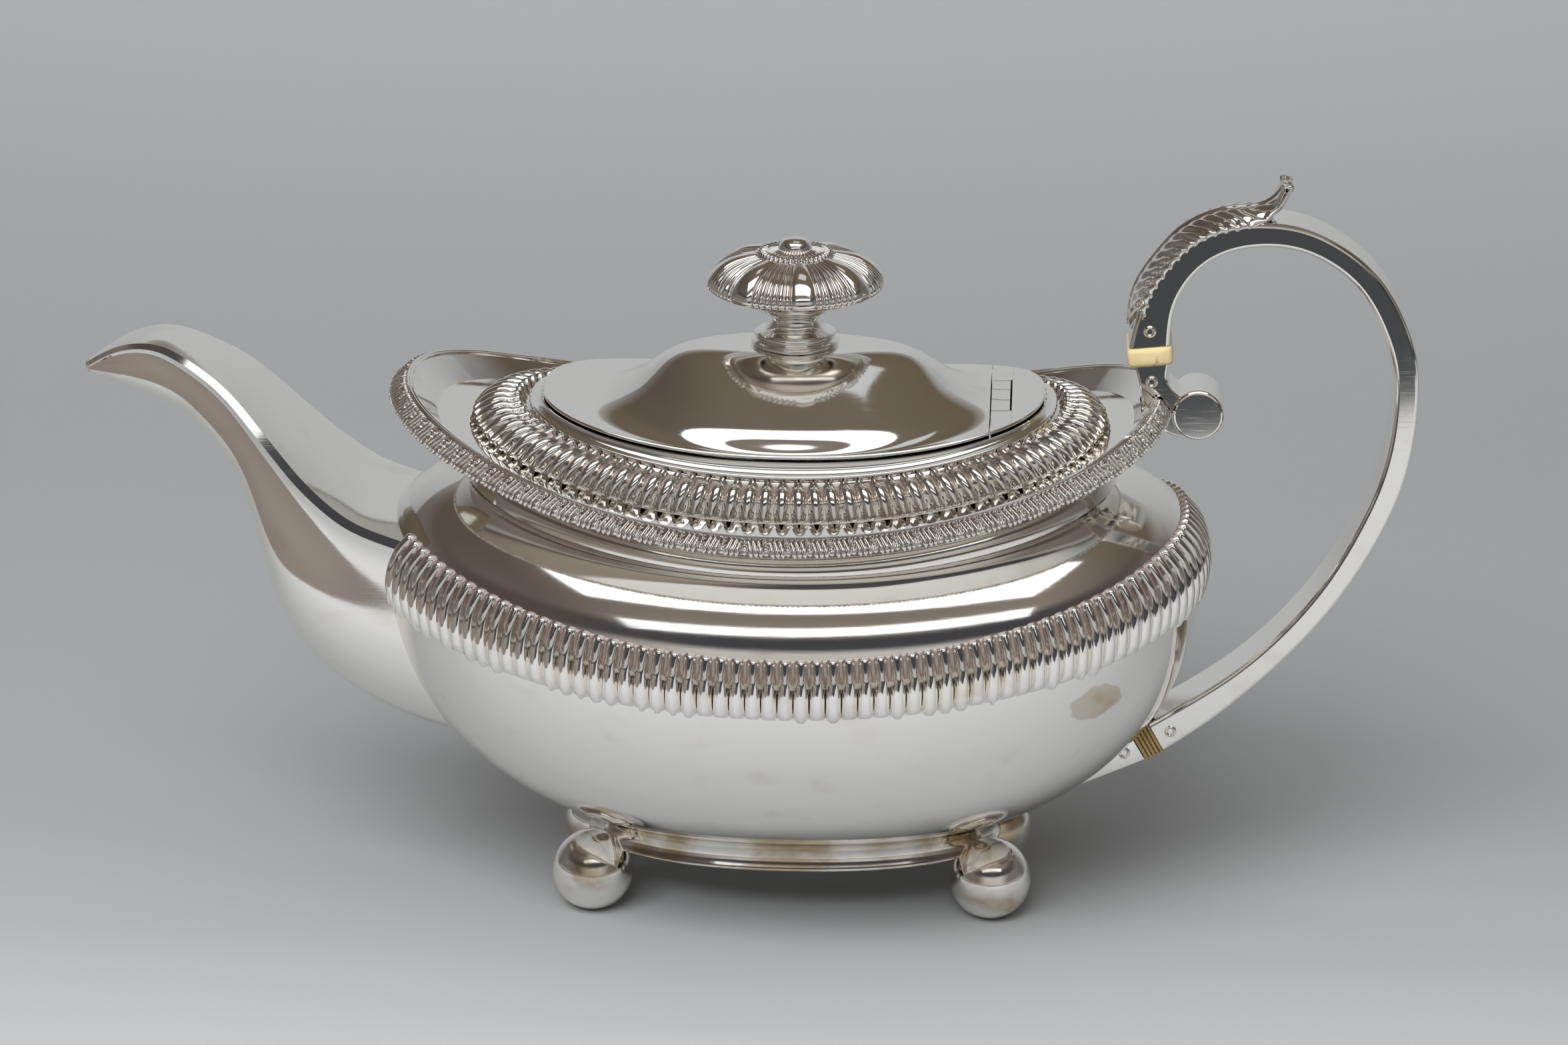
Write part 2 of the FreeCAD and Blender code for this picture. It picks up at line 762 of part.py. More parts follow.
def finial_cap():
    """Mushroom cap with broad petals, parted by groups of fine flutes cut down to its edge."""
    base = cap_base_z()
    crown_r = button_radius + button_margin
    side_r = 0.84 * cap_radius
    side_z = base + cap_edge_height + 0.55 * (cap_height - cap_edge_height)
    top_z = base + cap_height
    edge_z = base + cap_edge_height
    under_r = 0.76 * cap_radius
    under_z = base + 0.3 * cap_edge_height
    under = Part.makeLine(vec(0, 0, base), vec(stem_collar_radius, 0, base))
    belly = Part.Arc(vec(stem_collar_radius, 0, base), vec(under_r, 0, under_z),
                     vec(cap_radius, 0, edge_z)).toShape()
    dome = Part.Arc(vec(cap_radius, 0, edge_z), vec(side_r, 0, side_z), vec(crown_r, 0, top_z)).toShape()
    flat = Part.makeLine(vec(crown_r, 0, top_z), vec(0, 0, top_z))
    axis = Part.makeLine(vec(0, 0, top_z), vec(0, 0, base))
    cap = Part.Face(Part.Wire([under, belly, dome, flat, axis])).revolve(vec(0, 0, 0), vec(0, 0, 1), 360)
    start = vec(side_r, 0, side_z)
    fall = vec(cap_radius, 0, edge_z) - start
    out = vec(-fall.z, 0, fall.x).normalize()
    if out.x < 0:
        out = out * -1.0
    groove = Part.makeCylinder(ray_radius, 3.0 * fall.Length,
                               start - fall * 0.8 + out * (ray_radius - ray_depth), fall)
    rays = []
    for petal in range(cap_petals):
        for k in range(cap_flutes + 1):
            place = petal + petal_share + (1.0 - petal_share) * k / cap_flutes
            ray = groove.copy()
            ray.rotate(vec(0, 0, 0), vec(0, 0, 1), 360.0 * place / cap_petals)
            rays.append(ray)
    hole = Part.makeCylinder(bolt_radius + bolt_fit, cap_height - bolt_cover, vec(0, 0, base))
    return largest(cap.cut(rays + [hole]))


def finial_button():
    base = cap_base_z() + cap_height + seam
    radius = (button_radius ** 2 + button_height ** 2) / (2.0 * button_height)
    ball = Part.makeSphere(radius, vec(0, 0, base + button_height - radius))
    keep = Part.makeCylinder(2.0 * radius, 2.0 * radius, vec(0, 0, base))
    return largest(ball.common(keep))


def nut_base_z():
    return lid_z + dome_height - lid_sheet - seam - nut_height


def finial_bolt():
    """Bolt from inside the cap down through the stem and the lid, with its end past the nut."""
    low = nut_base_z() - bolt_proud
    high = cap_base_z() + cap_height - bolt_cover - 4.0 * bolt_fit
    return Part.makeCylinder(bolt_radius, high - low, vec(0, 0, low))


def finial_nut():
    low = nut_base_z()
    corners = [vec(nut_radius * math.cos(math.radians(60.0 * k)),
                   nut_radius * math.sin(math.radians(60.0 * k)), low) for k in range(7)]
    nut = Part.Face(Part.makePolygon(corners)).extrude(vec(0, 0, nut_height))
    bore = Part.makeCylinder(bolt_radius + bolt_fit, 4.0 * nut_height, vec(0, 0, low - nut_height))
    return largest(nut.cut(bore))


# Spout. Each station gives shares of the way from the pot to the tip: along and up for the two
# sharp edges of the top panel, the panel's width, then along and up for the keel below it.
# The keel is measured from the panel's root down to the belly and up to the tip.

spout_root_x = belly_half_length - 6.0
spout_stations = (
    (-0.10, -0.06, 1.00, -0.16, -0.07),
    (0.10, 0.04, 0.99, 0.05, 0.02),
    (0.21, 0.19, 0.955, 0.24, 0.13),
    (0.368, 0.53, 0.80, 0.42, 0.41),
    (0.526, 0.91, 0.585, 0.54, 0.735),
    (0.706, 1.17, 0.37, 0.73, 0.915),
    (0.83, 1.215, 0.27, 0.855, 0.965),
    (0.93, 1.07, 0.15, 0.945, 0.985),
    (1.0, 1.0, 0.02, 0.998, 0.993),
)


def spout_section(station, inside):
    """Closed section: a nearly flat panel on top, and a deep rounded keel under its two edges."""
    along, up, width, keel_along, keel_up = station
    run = spout_reach - spout_root_x
    edge = vec(-spout_root_x - run * along, 0, spout_panel_z + (spout_tip_z - spout_panel_z) * up)
    keel = vec(-spout_root_x - run * keel_along, 0, spout_belly_z + (spout_tip_z - spout_belly_z) * keel_up)
    down = (keel - edge).normalize()
    edge = edge + down * inside
    depth = (keel - edge).Length - inside
    half = spout_panel_width * width / 2.0 - inside
    across = vec(0, half, 0)
    crown = edge - down * (spout_crown * half)
    top = Part.Arc(edge - across, crown, edge + across).toShape()
    turns = ((1.0, 0.0), (0.965, 0.2), (0.95, 0.5), (0.66, 0.83), (0.0, 1.0))
    right = [edge + across * out + down * (depth * fall) for out, fall in turns]
    left = [edge - across * out + down * (depth * fall) for out, fall in reversed(turns[:-1])]
    belly = Part.BSplineCurve()
    belly.interpolate(right + left)
    return Part.Wire([top, belly.toShape()])


def spout_blank():
    return Part.makeLoft([spout_section(s, 0.0) for s in spout_stations], True, False)


def spout_bore():
    return Part.makeLoft([spout_section(s, spout_wall) for s in spout_stations[:-1]], True, False)


def spout_mouth():
    """Opening in the top of the beak, narrowing to the tip."""
    stations = []
    for back, half, floor in ((mouth_back, 0.5, 0.30), (0.25 * mouth_back, 0.12, 0.16)):
        x = -spout_reach + back
        low = spout_tip_z + floor * mouth_back - 0.45 * back
        width = half * mouth_back
        high = spout_tip_z + 2.0 * mouth_back
        stations.append(Part.makePolygon([
            vec(x, -width, high), vec(x, -0.8 * width, low + 0.3 * width), vec(x, 0, low),
            vec(x, 0.8 * width, low + 0.3 * width), vec(x, width, high), vec(x, -width, high),
        ]))
    return Part.makeLoft(stations, True, True)


def strainer_hole(radius):
    return Part.makeCylinder(radius, belly_half_length, vec(-1.5 * belly_half_length, 0, strainer_z),
                             vec(1, 0, 0))


def strainer():
    """Pierced plate inside the bowl, over the opening of the spout."""
    rings = bowl_rings()[1:]
    outer = inset(rings, wall + skin_gap)
    inner = inset(rings, wall + skin_gap + strainer_sheet)
    shell = wall_between([ring_wire(r) for r in outer], [ring_wire(r) for r in inner])
    plate = largest(shell.common(strainer_hole(strainer_radius)))
    holes = []
    reach = strainer_radius - strainer_rim - strainer_hole_radius
    steps = int(reach / strainer_pitch)
    for row in range(-steps - 1, steps + 2):
        for column in range(-steps - 1, steps + 2):
            y = strainer_pitch * (column + 0.5 * (row % 2))
            z = strainer_pitch * row * math.sqrt(0.75)
            if math.hypot(y, z) <= reach:
                holes.append(Part.makeCylinder(strainer_hole_radius, belly_half_length,
                                               vec(-1.5 * belly_half_length, y, strainer_z + z), vec(1, 0, 0)))
    return largest(plate.cut(holes))


# Handle. The loop runs from the upper socket over the top, out to its reach and back to the
# lower socket. Each station gives the middle of the strap and how much deeper it is there.


def handle_stations():
    reach = handle_reach - handle_strap / 2.0
    top = handle_top_z - handle_strap / 2.0
    rise = top - handle_upper_z
    run = reach - handle_upper_x
    fall = handle_upper_z - handle_lower_z
    back = reach - handle_lower_x
    return (
        (handle_upper_x, handle_upper_z, handle_upper_depth),
        (handle_upper_x + 0.03 * run, handle_upper_z + 0.56 * rise, 0.5 * (handle_upper_depth + handle_strap)),
        (handle_upper_x + 0.26 * run, handle_upper_z + 0.97 * rise, 1.08 * handle_strap),
        (handle_upper_x + 0.56 * run, handle_upper_z + 0.99 * rise, handle_strap),
        (handle_upper_x + 0.85 * run, handle_upper_z + 0.58 * rise, 0.96 * handle_strap),
        (reach, handle_upper_z - 0.11 * fall, handle_strap),
        (handle_lower_x + 0.93 * back, handle_lower_z + 0.635 * fall, 1.04 * handle_strap),
        (handle_lower_x + 0.71 * back, handle_lower_z + 0.37 * fall, 1.04 * handle_strap),
        (handle_lower_x + 0.36 * back, handle_lower_z + 0.145 * fall, 0.5 * (handle_lower_depth + handle_strap)),
        (handle_lower_x, handle_lower_z, handle_lower_depth),
    )


def handle_edges():
    """Outer and inner edge curves of the strap, in the XZ plane."""
    stations = handle_stations()
    middle = Part.BSplineCurve()
    middle.interpolate([vec(x, 0, z) for x, z, depth in stations])
    outer = []
    inner = []
    for k, (x, z, depth) in enumerate(stations):
        point = vec(x, 0, z)
        heading = middle.tangent(middle.parameter(point))[0]
        if k == 0:
            heading = vec(0, 0, 1)
        if k == len(stations) - 1:
            lower = math.radians(handle_lower_deg)
            heading = vec(-math.cos(lower), 0, -math.sin(lower))
        left = vec(-heading.z, 0, heading.x)
        outer.append(point + left * (depth / 2.0))
        inner.append(point - left * (depth / 2.0))
    curves = []
    for points in (outer, inner):
        curve = Part.BSplineCurve()
        curve.interpolate(points)
        curves.append(curve)
    return curves


def handle():
    outer, inner = handle_edges()
    first = Part.makeLine(inner.StartPoint, outer.StartPoint)
    last = Part.makeLine(outer.EndPoint, inner.EndPoint)
    wire = Part.Wire([first, outer.toShape(), last, inner.toShape()])
    strap = Part.Face(wire).extrude(vec(0, handle_width, 0))
    strap.translate(vec(0, -handle_width / 2.0, 0))
    long_edges = [e for e in strap.Edges if e.Length > 4.0 * handle_width]
    strap = strap.makeFillet(handle_round, long_edges)
    return largest(strap.cut([pin_hole(*upper_handle_pin()), pin_hole(*lower_handle_pin())]))


def lower_heading():
    """Direction of the strap where it runs down into the lower socket."""
    lower = math.radians(handle_lower_deg)
    return vec(-math.cos(lower), 0, -math.sin(lower))


def along_lower(distance, side):
    """Point on the lower strap line, past the handle's end and out to one side of the line."""
    heading = lower_heading()
    point = vec(handle_lower_x, 0, handle_lower_z) + heading * distance
    point = point + vec(heading.z, 0, -heading.x) * side
    return point.x, point.z


def upper_handle_pin():
    return handle_upper_x, handle_upper_z + socket_pin_inset


def upper_socket_pin():
    return handle_upper_x + socket_lean, handle_upper_z - insulator_length - socket_pin_inset


def lower_handle_pin():
    return along_lower(-socket_pin_inset, 0.0)


def lower_socket_pin():
    return along_lower(insulator_length + socket_pin_inset, 0.0)


def pin_hole(x, z):
    return cylinder_y(socket_pin_radius + bolt_fit, 4.0 * handle_width, x, 0.0, z)


def socket_pin(x, z, width):
    """Pin through a socket or a handle end, with its heads just proud of both sides."""
    pin = cylinder_y(socket_pin_radius, width + 2.0 * socket_pin_proud, x, 0.0, z)
    rims = [e for e in pin.Edges if len(e.Vertexes) == 1]
    return largest(pin.makeChamfer(0.6 * socket_pin_proud, rims))


def upper_insulator():
    depth = handle_upper_depth + 2.0 * insulator_proud
    piece = block(handle_upper_x - depth / 2.0, handle_upper_x + depth / 2.0,
                  -insulator_width / 2.0, insulator_width / 2.0,
                  handle_upper_z - insulator_length + seam, handle_upper_z - seam)
    upright = [e for e in piece.Edges if abs(e.Vertexes[0].Z - e.Vertexes[1].Z) > seam]
    return largest(piece.makeFillet(insulator_round, upright))


def lower_insulator(core):
    """Disc between the handle and the lower socket, filed to the bowl at its inner edge."""
    half = handle_lower_depth / 2.0 + insulator_proud
    near = seam
    far = insulator_length - seam
    disc = prism_y([along_lower(near, -half), along_lower(far, -half),
                    along_lower(far, half), along_lower(near, half)], insulator_width)
    return largest(disc.cut(core))


def upper_socket():
    """Casting on the end of the rim: a short socket with a volute that hangs outside."""
    top = handle_upper_z - insulator_length
    half = handle_upper_depth / 2.0 - insulator_proud
    x = handle_upper_x + socket_lean
    post = prism_y([
        (x - half, top), (x + half, top), (x + half, top - 0.35 * (top - volute_z)),
        (volute_x - 0.85 * volute_radius, volute_z + 0.6 * volute_radius), (volute_x, volute_z),
        (volute_x - 0.5 * volute_radius, volute_z - 0.85 * volute_radius),
        (x + 0.6 * half, volute_z - 0.4 * volute_radius), (x - 0.45 * half, volute_z),
        (x - 0.8 * half, volute_z + volute_radius),
    ], socket_width)
    volute = cylinder_y(volute_radius, socket_width, volute_x, 0.0, volute_z)
    return largest(post.fuse(volute).removeSplitter().cut(pin_hole(*upper_socket_pin())))


def lower_socket(core):
    """Tapering strap soldered along the underside of the bowl."""
    half = handle_lower_depth / 2.0 - insulator_proud
    start = insulator_length
    toe_z = foot_top_z + socket_toe_rise
    toe = (body_half_length(toe_z), toe_z - seam)
    strap = prism_y([
        along_lower(start, -half), along_lower(start, half), along_lower(start + socket_pin_inset, half),
        toe, (toe[0] - wall, toe_z + 2.0 * wall),
    ], socket_width)
    return largest(strap.cut([core, pin_hole(*lower_socket_pin())]))


def leaf_thumbpiece(strap):
    """Leaf that wraps the crown of the handle and curls up into a thumb tip."""
    stations = handle_stations()
    outer, inner = handle_edges()
    low = outer.value(outer.parameter(vec(*handle_leaf_start())))
    crown_x, crown_z, depth = stations[2]
    rise = leaf_tip_z - handle_top_z
    back = Part.BSplineCurve()
    back.interpolate([
        low, low + vec(-leaf_thickness, 0, 0.30 * (crown_z - low.z)),
        vec(stations[1][0] - 0.5 * stations[1][2] - leaf_thickness, 0, stations[1][1] + leaf_thickness),
        vec(crown_x - 1.2 * depth, 0, crown_z + 0.45 * depth + leaf_thickness),
        vec(crown_x + 0.35 * (leaf_tip_x - crown_x), 0, handle_top_z + 0.42 * rise),
        vec(leaf_tip_x, 0, leaf_tip_z),
    ])
    under = Part.BSplineCurve()
    under.interpolate([
        vec(leaf_tip_x, 0, leaf_tip_z), vec(leaf_tip_x - 0.3 * rise, 0, leaf_tip_z - 0.6 * rise),
        vec(leaf_tip_x - 0.9 * rise, 0, handle_top_z - 0.2 * handle_strap),
        vec(crown_x, 0, crown_z), vec(stations[1][0], 0, stations[1][1]), low,
    ])
    side = Part.Face(Part.Wire([back.toShape(), under.toShape()]))
    leaf = side.extrude(vec(0, leaf_width, 0))
    leaf.translate(vec(0, -leaf_width / 2.0, 0))
    half = leaf_width / 2.0
    plan = [(low.x - half, -half), (crown_x, -half), (leaf_tip_x + 0.5, -0.2 * half),
            (leaf_tip_x + 0.5, 0.2 * half), (crown_x, half), (low.x - half, half)]
    corners = [vec(x, y, 0) for x, y in plan + plan[:1]]
    taper = Part.Face(Part.makePolygon(corners)).extrude(vec(0, 0, 2.0 * leaf_tip_z))
    return largest(leaf.common(taper).cut(strap))


def handle_leaf_start():
    """Point on the outer edge of the strap where the leaf begins, above the upper pin."""
    x, z = upper_handle_pin()
    return x - handle_upper_depth / 2.0, 0.0, z + 2.0 * socket_pin_radius


def build():
    """Every sub-part of the teapot, by name, about the middle of the pot."""
    bowl = lower_bowl()
    collar = shoulder()
    casting = upper_socket()
    strap = handle()
    blank = lid_blank()
    pot = body_core()
    core = foot_core()
    spout_body = spout_blank().cut([spout_bore(), spout_mouth()])
    parts = {
        "foot_ring": foot_ring(),
        "lower_bowl": largest(bowl.cut(strainer_hole(strainer_radius - strainer_rim))),
        "shoulder": largest(collar.cut(casting)),
        "lobed_band": lobed_band(),
        "cover_plate": largest(cover_plate().cut(casting)),
        "fluted_collar": fluted_collar(),
        "gadroon_border": gadroon_border(),
        "mouth_ring": mouth_ring(),
        "hinge_plate": hinge_plate(blank),
        "hinge_pin": hinge_pin(),
        "spout": largest(spout_body.cut([pot, collar])),
        "strainer": strainer(),
        "upper_socket": casting,
        "upper_insulator": upper_insulator(),
        "handle": strap,
        "leaf_thumbpiece": leaf_thumbpiece(strap),
        "lower_insulator": lower_insulator(pot),
        "lower_socket": lower_socket(pot),
        "upper_socket_pin": socket_pin(*upper_socket_pin(), socket_width),
        "upper_handle_pin": socket_pin(*upper_handle_pin(), handle_width),
        "lower_handle_pin": socket_pin(*lower_handle_pin(), handle_width),
        "lower_socket_pin": socket_pin(*lower_socket_pin(), socket_width),
        "lid": lid(blank),
        "lid_bezel": lid_bezel(),
        "finial_stem": finial_stem(),
        "finial_cap": finial_cap(),
        "finial_button": finial_button(),
        "finial_bolt": finial_bolt(),
        "finial_nut": finial_nut(),
    }
    for name, side_x, side_y in (("spout_right", -1, -1), ("spout_left", -1, 1),
                                 ("handle_right", 1, -1), ("handle_left", 1, 1)):
        parts["ball_foot_" + name] = ball_foot(side_x, side_y, core)
    return parts


def main():
    """Write one file per sub-part, with the origin under the middle of the whole length."""
    parts = build()
    reach = [parts[name].optimalBoundingBox(True, False) for name in ("spout", "handle")]
    shift = -(reach[0].XMin + reach[1].XMax) / 2.0
    os.makedirs("parts", exist_ok=True)
    for name, shape in parts.items():
        shape.translate(vec(shift, 0, 0))
        shape.exportStep("parts/" + name + ".step")
    print("pot middle at x", round(shift, 3))
    print("hinge line at x, z", round(shift + hinge_x, 3), round(hinge_axis_z(), 3))


if __name__ == "__main__":
    main()
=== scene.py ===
"""Looks of a boat-shaped silver teapot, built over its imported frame."""

import bisect
import logging
import math
from dataclasses import dataclass
from enum import Enum
from typing import Any, Callable, Sequence

import bmesh
import bpy
from mathutils import Matrix, Vector, noise


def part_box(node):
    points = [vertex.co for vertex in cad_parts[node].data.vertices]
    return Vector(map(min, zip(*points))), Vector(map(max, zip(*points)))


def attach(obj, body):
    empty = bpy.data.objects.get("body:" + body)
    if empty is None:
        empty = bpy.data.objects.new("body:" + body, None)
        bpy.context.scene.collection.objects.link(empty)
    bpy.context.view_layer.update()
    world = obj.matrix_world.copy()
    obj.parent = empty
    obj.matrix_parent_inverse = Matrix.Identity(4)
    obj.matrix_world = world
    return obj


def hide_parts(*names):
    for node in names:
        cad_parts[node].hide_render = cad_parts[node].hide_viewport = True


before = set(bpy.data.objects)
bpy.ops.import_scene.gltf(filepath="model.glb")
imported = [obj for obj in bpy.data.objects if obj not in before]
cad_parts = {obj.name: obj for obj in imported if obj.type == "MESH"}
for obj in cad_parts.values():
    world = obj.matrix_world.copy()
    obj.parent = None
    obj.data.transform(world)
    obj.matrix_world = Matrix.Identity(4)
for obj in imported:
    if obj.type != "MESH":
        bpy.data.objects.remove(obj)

LOG = logging.getLogger("teapot")
MM = 0.001
RECESS = "recess"
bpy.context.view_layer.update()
BOWL_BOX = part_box("lower_bowl")
POT_X = (BOWL_BOX[0].x + BOWL_BOX[1].x) / 2.0
ROUND_FACES = 420
FULL_TURN = 2.0 * math.pi
QUARTER_TURN = math.pi / 2.0
DRAWN_FROM, DRAWN_RUN = 48.0, 40.0
BELLY_DRAW, RIM_DRAW, RIM_DROP = 2.0, 4.6, 1.8

Colour = tuple[float, float, float]
Surface = Callable[[float, float], Vector]
Depth = Callable[[float, float], float]
Section = tuple[Vector, Vector, float, float]


class Body(Enum):
    """Bodies of the frame that a piece can ride on."""

    POT = "pot"
    LID = "lid"


class Slot(Enum):
    """Material slots of the record."""

    POLISHED = "polished_silver"
    CHASED = "chased_silver"
    PALE_BONE = "pale_bone"
    BROWN_BONE = "brown_bone"


def clamp(number: float) -> float:
    """Number held between 0 and 1."""
    return min(max(number, 0.0), 1.0)


def ease(low: float, high: float, number: float) -> float:
    """Smooth step from 0 at low to 1 at high.

    Args:
        low: number at which the step starts.
        high: number at which the step ends.
        number: number to map.

    Returns:
        The share of the step, 0 to 1.
    """
    share = clamp((number - low) / (high - low))
    return share * share * (3.0 - 2.0 * share)


def dome(offset: float, power: float = 2.0) -> float:
    """Rounded bump that is 1 at offset 0 and falls to 0 at offset 1."""
    return max(1.0 - abs(offset) ** power, 0.0) ** (1.0 / power)


def wobble(seed: float, reach: float) -> float:
    """Small fixed irregularity of hand work, from minus reach to reach."""
    return reach * noise.noise(Vector((seed * 3.71, 0.37, 1.9)))


def drawn_in(x: float, height: float) -> tuple[float, float]:
    """Place along the pot, which is a little shorter and lower at the handle's end of the rim.

    Args:
        x: place along an even oval, in millimetres.
        height: height there.

    Returns:
        The place and its height, drawn in on the handle's side.
    """
    run = max(x - DRAWN_FROM, 0.0) / DRAWN_RUN
    rim = ease(90.0, 114.0, height)
    draw = BELLY_DRAW * ease(40.0, 76.0, height) + RIM_DRAW * rim
    return x - draw * run ** 1.5, height - RIM_DROP * rim * run ** 2


def last_below(low: float, high: float, steps: int, below: Callable[[float], bool]) -> float:
    """Find by halving where a test stops holding.

    Args:
        low: number at which the test holds.
        high: number at which it no longer holds.
        steps: count of halvings.
        below: the test.

    Returns:
        The last number at which it was found to hold.
    """
    for _ in range(steps):
        middle = (low + high) / 2.0
        low, high = (middle, high) if below(middle) else (low, middle)
    return low


class Spline:
    """Smooth curve through rows of numbers, measured by the distance between the rows."""

    def __init__(self, rows: Sequence[Sequence[float]]) -> None:
        """Fit the curve.

        Args:
            rows: stations of the curve, each with the same count of numbers.
        """
        self.rows = [tuple(row) for row in rows]
        self.stops = [0.0]
        for last, row in zip(self.rows, self.rows[1:]):
            self.stops.append(self.stops[-1] + math.dist(last, row))
        self.bends = self._bends()

    def _bends(self) -> list[list[float]]:
        """Work out the curve's bend at each station.

        Returns:
            Second derivatives, one row per station, with free ends.
        """
        rows, stops = self.rows, self.stops
        bends = [[0.0] * len(rows[0]) for _ in rows]
        carry = [0.0] * len(rows)
        for i in range(1, len(rows) - 1):
            left = stops[i] - stops[i - 1]
            right = stops[i + 1] - stops[i]
            pivot = 2.0 * (left + right) - left * carry[i - 1]
            carry[i] = right / pivot
            for k, here in enumerate(rows[i]):
                turn = (rows[i + 1][k] - here) / right - (here - rows[i - 1][k]) / left
                bends[i][k] = (6.0 * turn - left * bends[i - 1][k]) / pivot
        for i in range(len(rows) - 2, 0, -1):
            for k in range(len(rows[0])):
                bends[i][k] -= carry[i] * bends[i + 1][k]
        return bends

    def at(self, share: float) -> list[float]:
        """Row of numbers at a share of the curve.

        Args:
            share: 0 at the first station, 1 at the last.

        Returns:
            The numbers there.
        """
        goal = clamp(share) * self.stops[-1]
        i = min(max(bisect.bisect_right(self.stops, goal) - 1, 0), len(self.rows) - 2)
        gap = self.stops[i + 1] - self.stops[i]
        b = (goal - self.stops[i]) / gap
        a = 1.0 - b
        return [
            a * p + b * q + ((a ** 3 - a) * m + (b ** 3 - b) * n) * gap * gap / 6.0
            for p, q, m, n in zip(self.rows[i], self.rows[i + 1], self.bends[i], self.bends[i + 1])
        ]

    def heading(self, share: float) -> Vector:
        """Direction of the curve's first two numbers, as a vector in the XZ plane."""
        ahead, behind = self.at(min(share + 0.002, 1.0)), self.at(max(share - 0.002, 0.0))
        return Vector((ahead[0] - behind[0], 0.0, ahead[1] - behind[1])).normalized()


@dataclass(frozen=True)
class Ring:
    """Squared oval about the pot's middle that rises towards its two ends.

    Lengths are half lengths in millimetres; side_z and end_z are the heights at the two sides
    and at the two ends.
    """

    length: float
    width: float
    side_z: float
    end_z: float
    square: float = 2.2

    def at(self, turn: float) -> Vector:
        """Point at a turn, 0 to 1, counted from the handle end round the far side.

        Args:
            turn: share of the full turn.

        Returns:
            The point, in millimetres.
        """
        c, s = math.cos(FULL_TURN * turn), math.sin(FULL_TURN * turn)
        reach = (abs(c) ** self.square + abs(s) ** self.square) ** (-1.0 / self.square)
        x, z = drawn_in(self.length * c * reach, self.height(c * reach))
        return Vector((x, self.width * s * reach, z))

    def height(self, out: float) -> float:
        """Height at a share of the half length."""
        return self.side_z + (self.end_z - self.side_z) * out ** 2

    def row(self) -> tuple[float, ...]:
        """Sizes as a row for a spline."""
        return self.length, self.width, self.side_z, self.end_z, self.square

    def toward(self, other: "Ring", share: float) -> "Ring":
        """Ring at a share of the way to another."""
        return self.blend(other, share, share)

    def blend(self, other: "Ring", out: float, up: float) -> "Ring":
        """Ring on the way to another, with its own shares outwards and upwards."""
        shares = (out, out, up, up, out)
        return Ring(*(a + (b - a) * share for a, b, share in zip(self.row(), other.row(), shares)))

    def moved(self, out: float, up: float) -> "Ring":
        """Ring moved outwards and upwards."""
        return Ring(self.length + out, self.width + out, self.side_z + up, self.end_z + up, self.square)

    def even(self) -> Callable[[float], float]:
        """Spacing along the ring.

        Returns:
            A function from a share of the ring's length to a turn.
        """
        steps = 720
        marks = [0.0]
        for k in range(steps):
            marks.append(marks[-1] + (self.at((k + 1) / steps) - self.at(k / steps)).length)

        def turn(share: float) -> float:
            """Turn at a share of the ring's length.

            Args:
                share: share of the length.

            Returns:
                The turn.
            """
            goal = (share % 1.0) * marks[-1]
            k = min(bisect.bisect_right(marks, goal) - 1, steps - 1)
            return (k + (goal - marks[k]) / (marks[k + 1] - marks[k])) / steps

        return turn


class Value:
    """Socket of a shader that takes part in arithmetic."""

    def __init__(self, graph: "Graph", socket: bpy.types.NodeSocket) -> None:
        """Wrap a socket of a graph."""
        self.graph = graph
        self.socket = socket

    def _math(self, operation: str, first: Any, second: Any) -> "Value":
        """Value of one operation on two numbers."""
        return self.graph.value("ShaderNodeMath", {"operation": operation}, {0: first, 1: second})

    def __add__(self, other: Any) -> "Value":
        """Sum."""
        return self._math("ADD", self, other)

    __radd__ = __add__

    def __sub__(self, other: Any) -> "Value":
        """Difference."""
        return self._math("SUBTRACT", self, other)

    def __rsub__(self, other: Any) -> "Value":
        """Difference with this value taken away."""
        return self._math("SUBTRACT", other, self)

    def __mul__(self, other: Any) -> "Value":
        """Product."""
        return self._math("MULTIPLY", self, other)

    __rmul__ = __mul__

    def __truediv__(self, other: Any) -> "Value":
        """Quotient."""
        return self._math("DIVIDE", self, other)

    def __rtruediv__(self, other: Any) -> "Value":
        """Quotient with this value below."""
        return self._math("DIVIDE", other, self)

    def ramp(self, low: float, high: float) -> "Value":
        """Smooth step from 0 at low to 1 at high."""
        return self.graph.value("ShaderNodeMapRange", {"interpolation_type": "SMOOTHSTEP"},
                                {"Value": self, "From Min": low, "From Max": high})


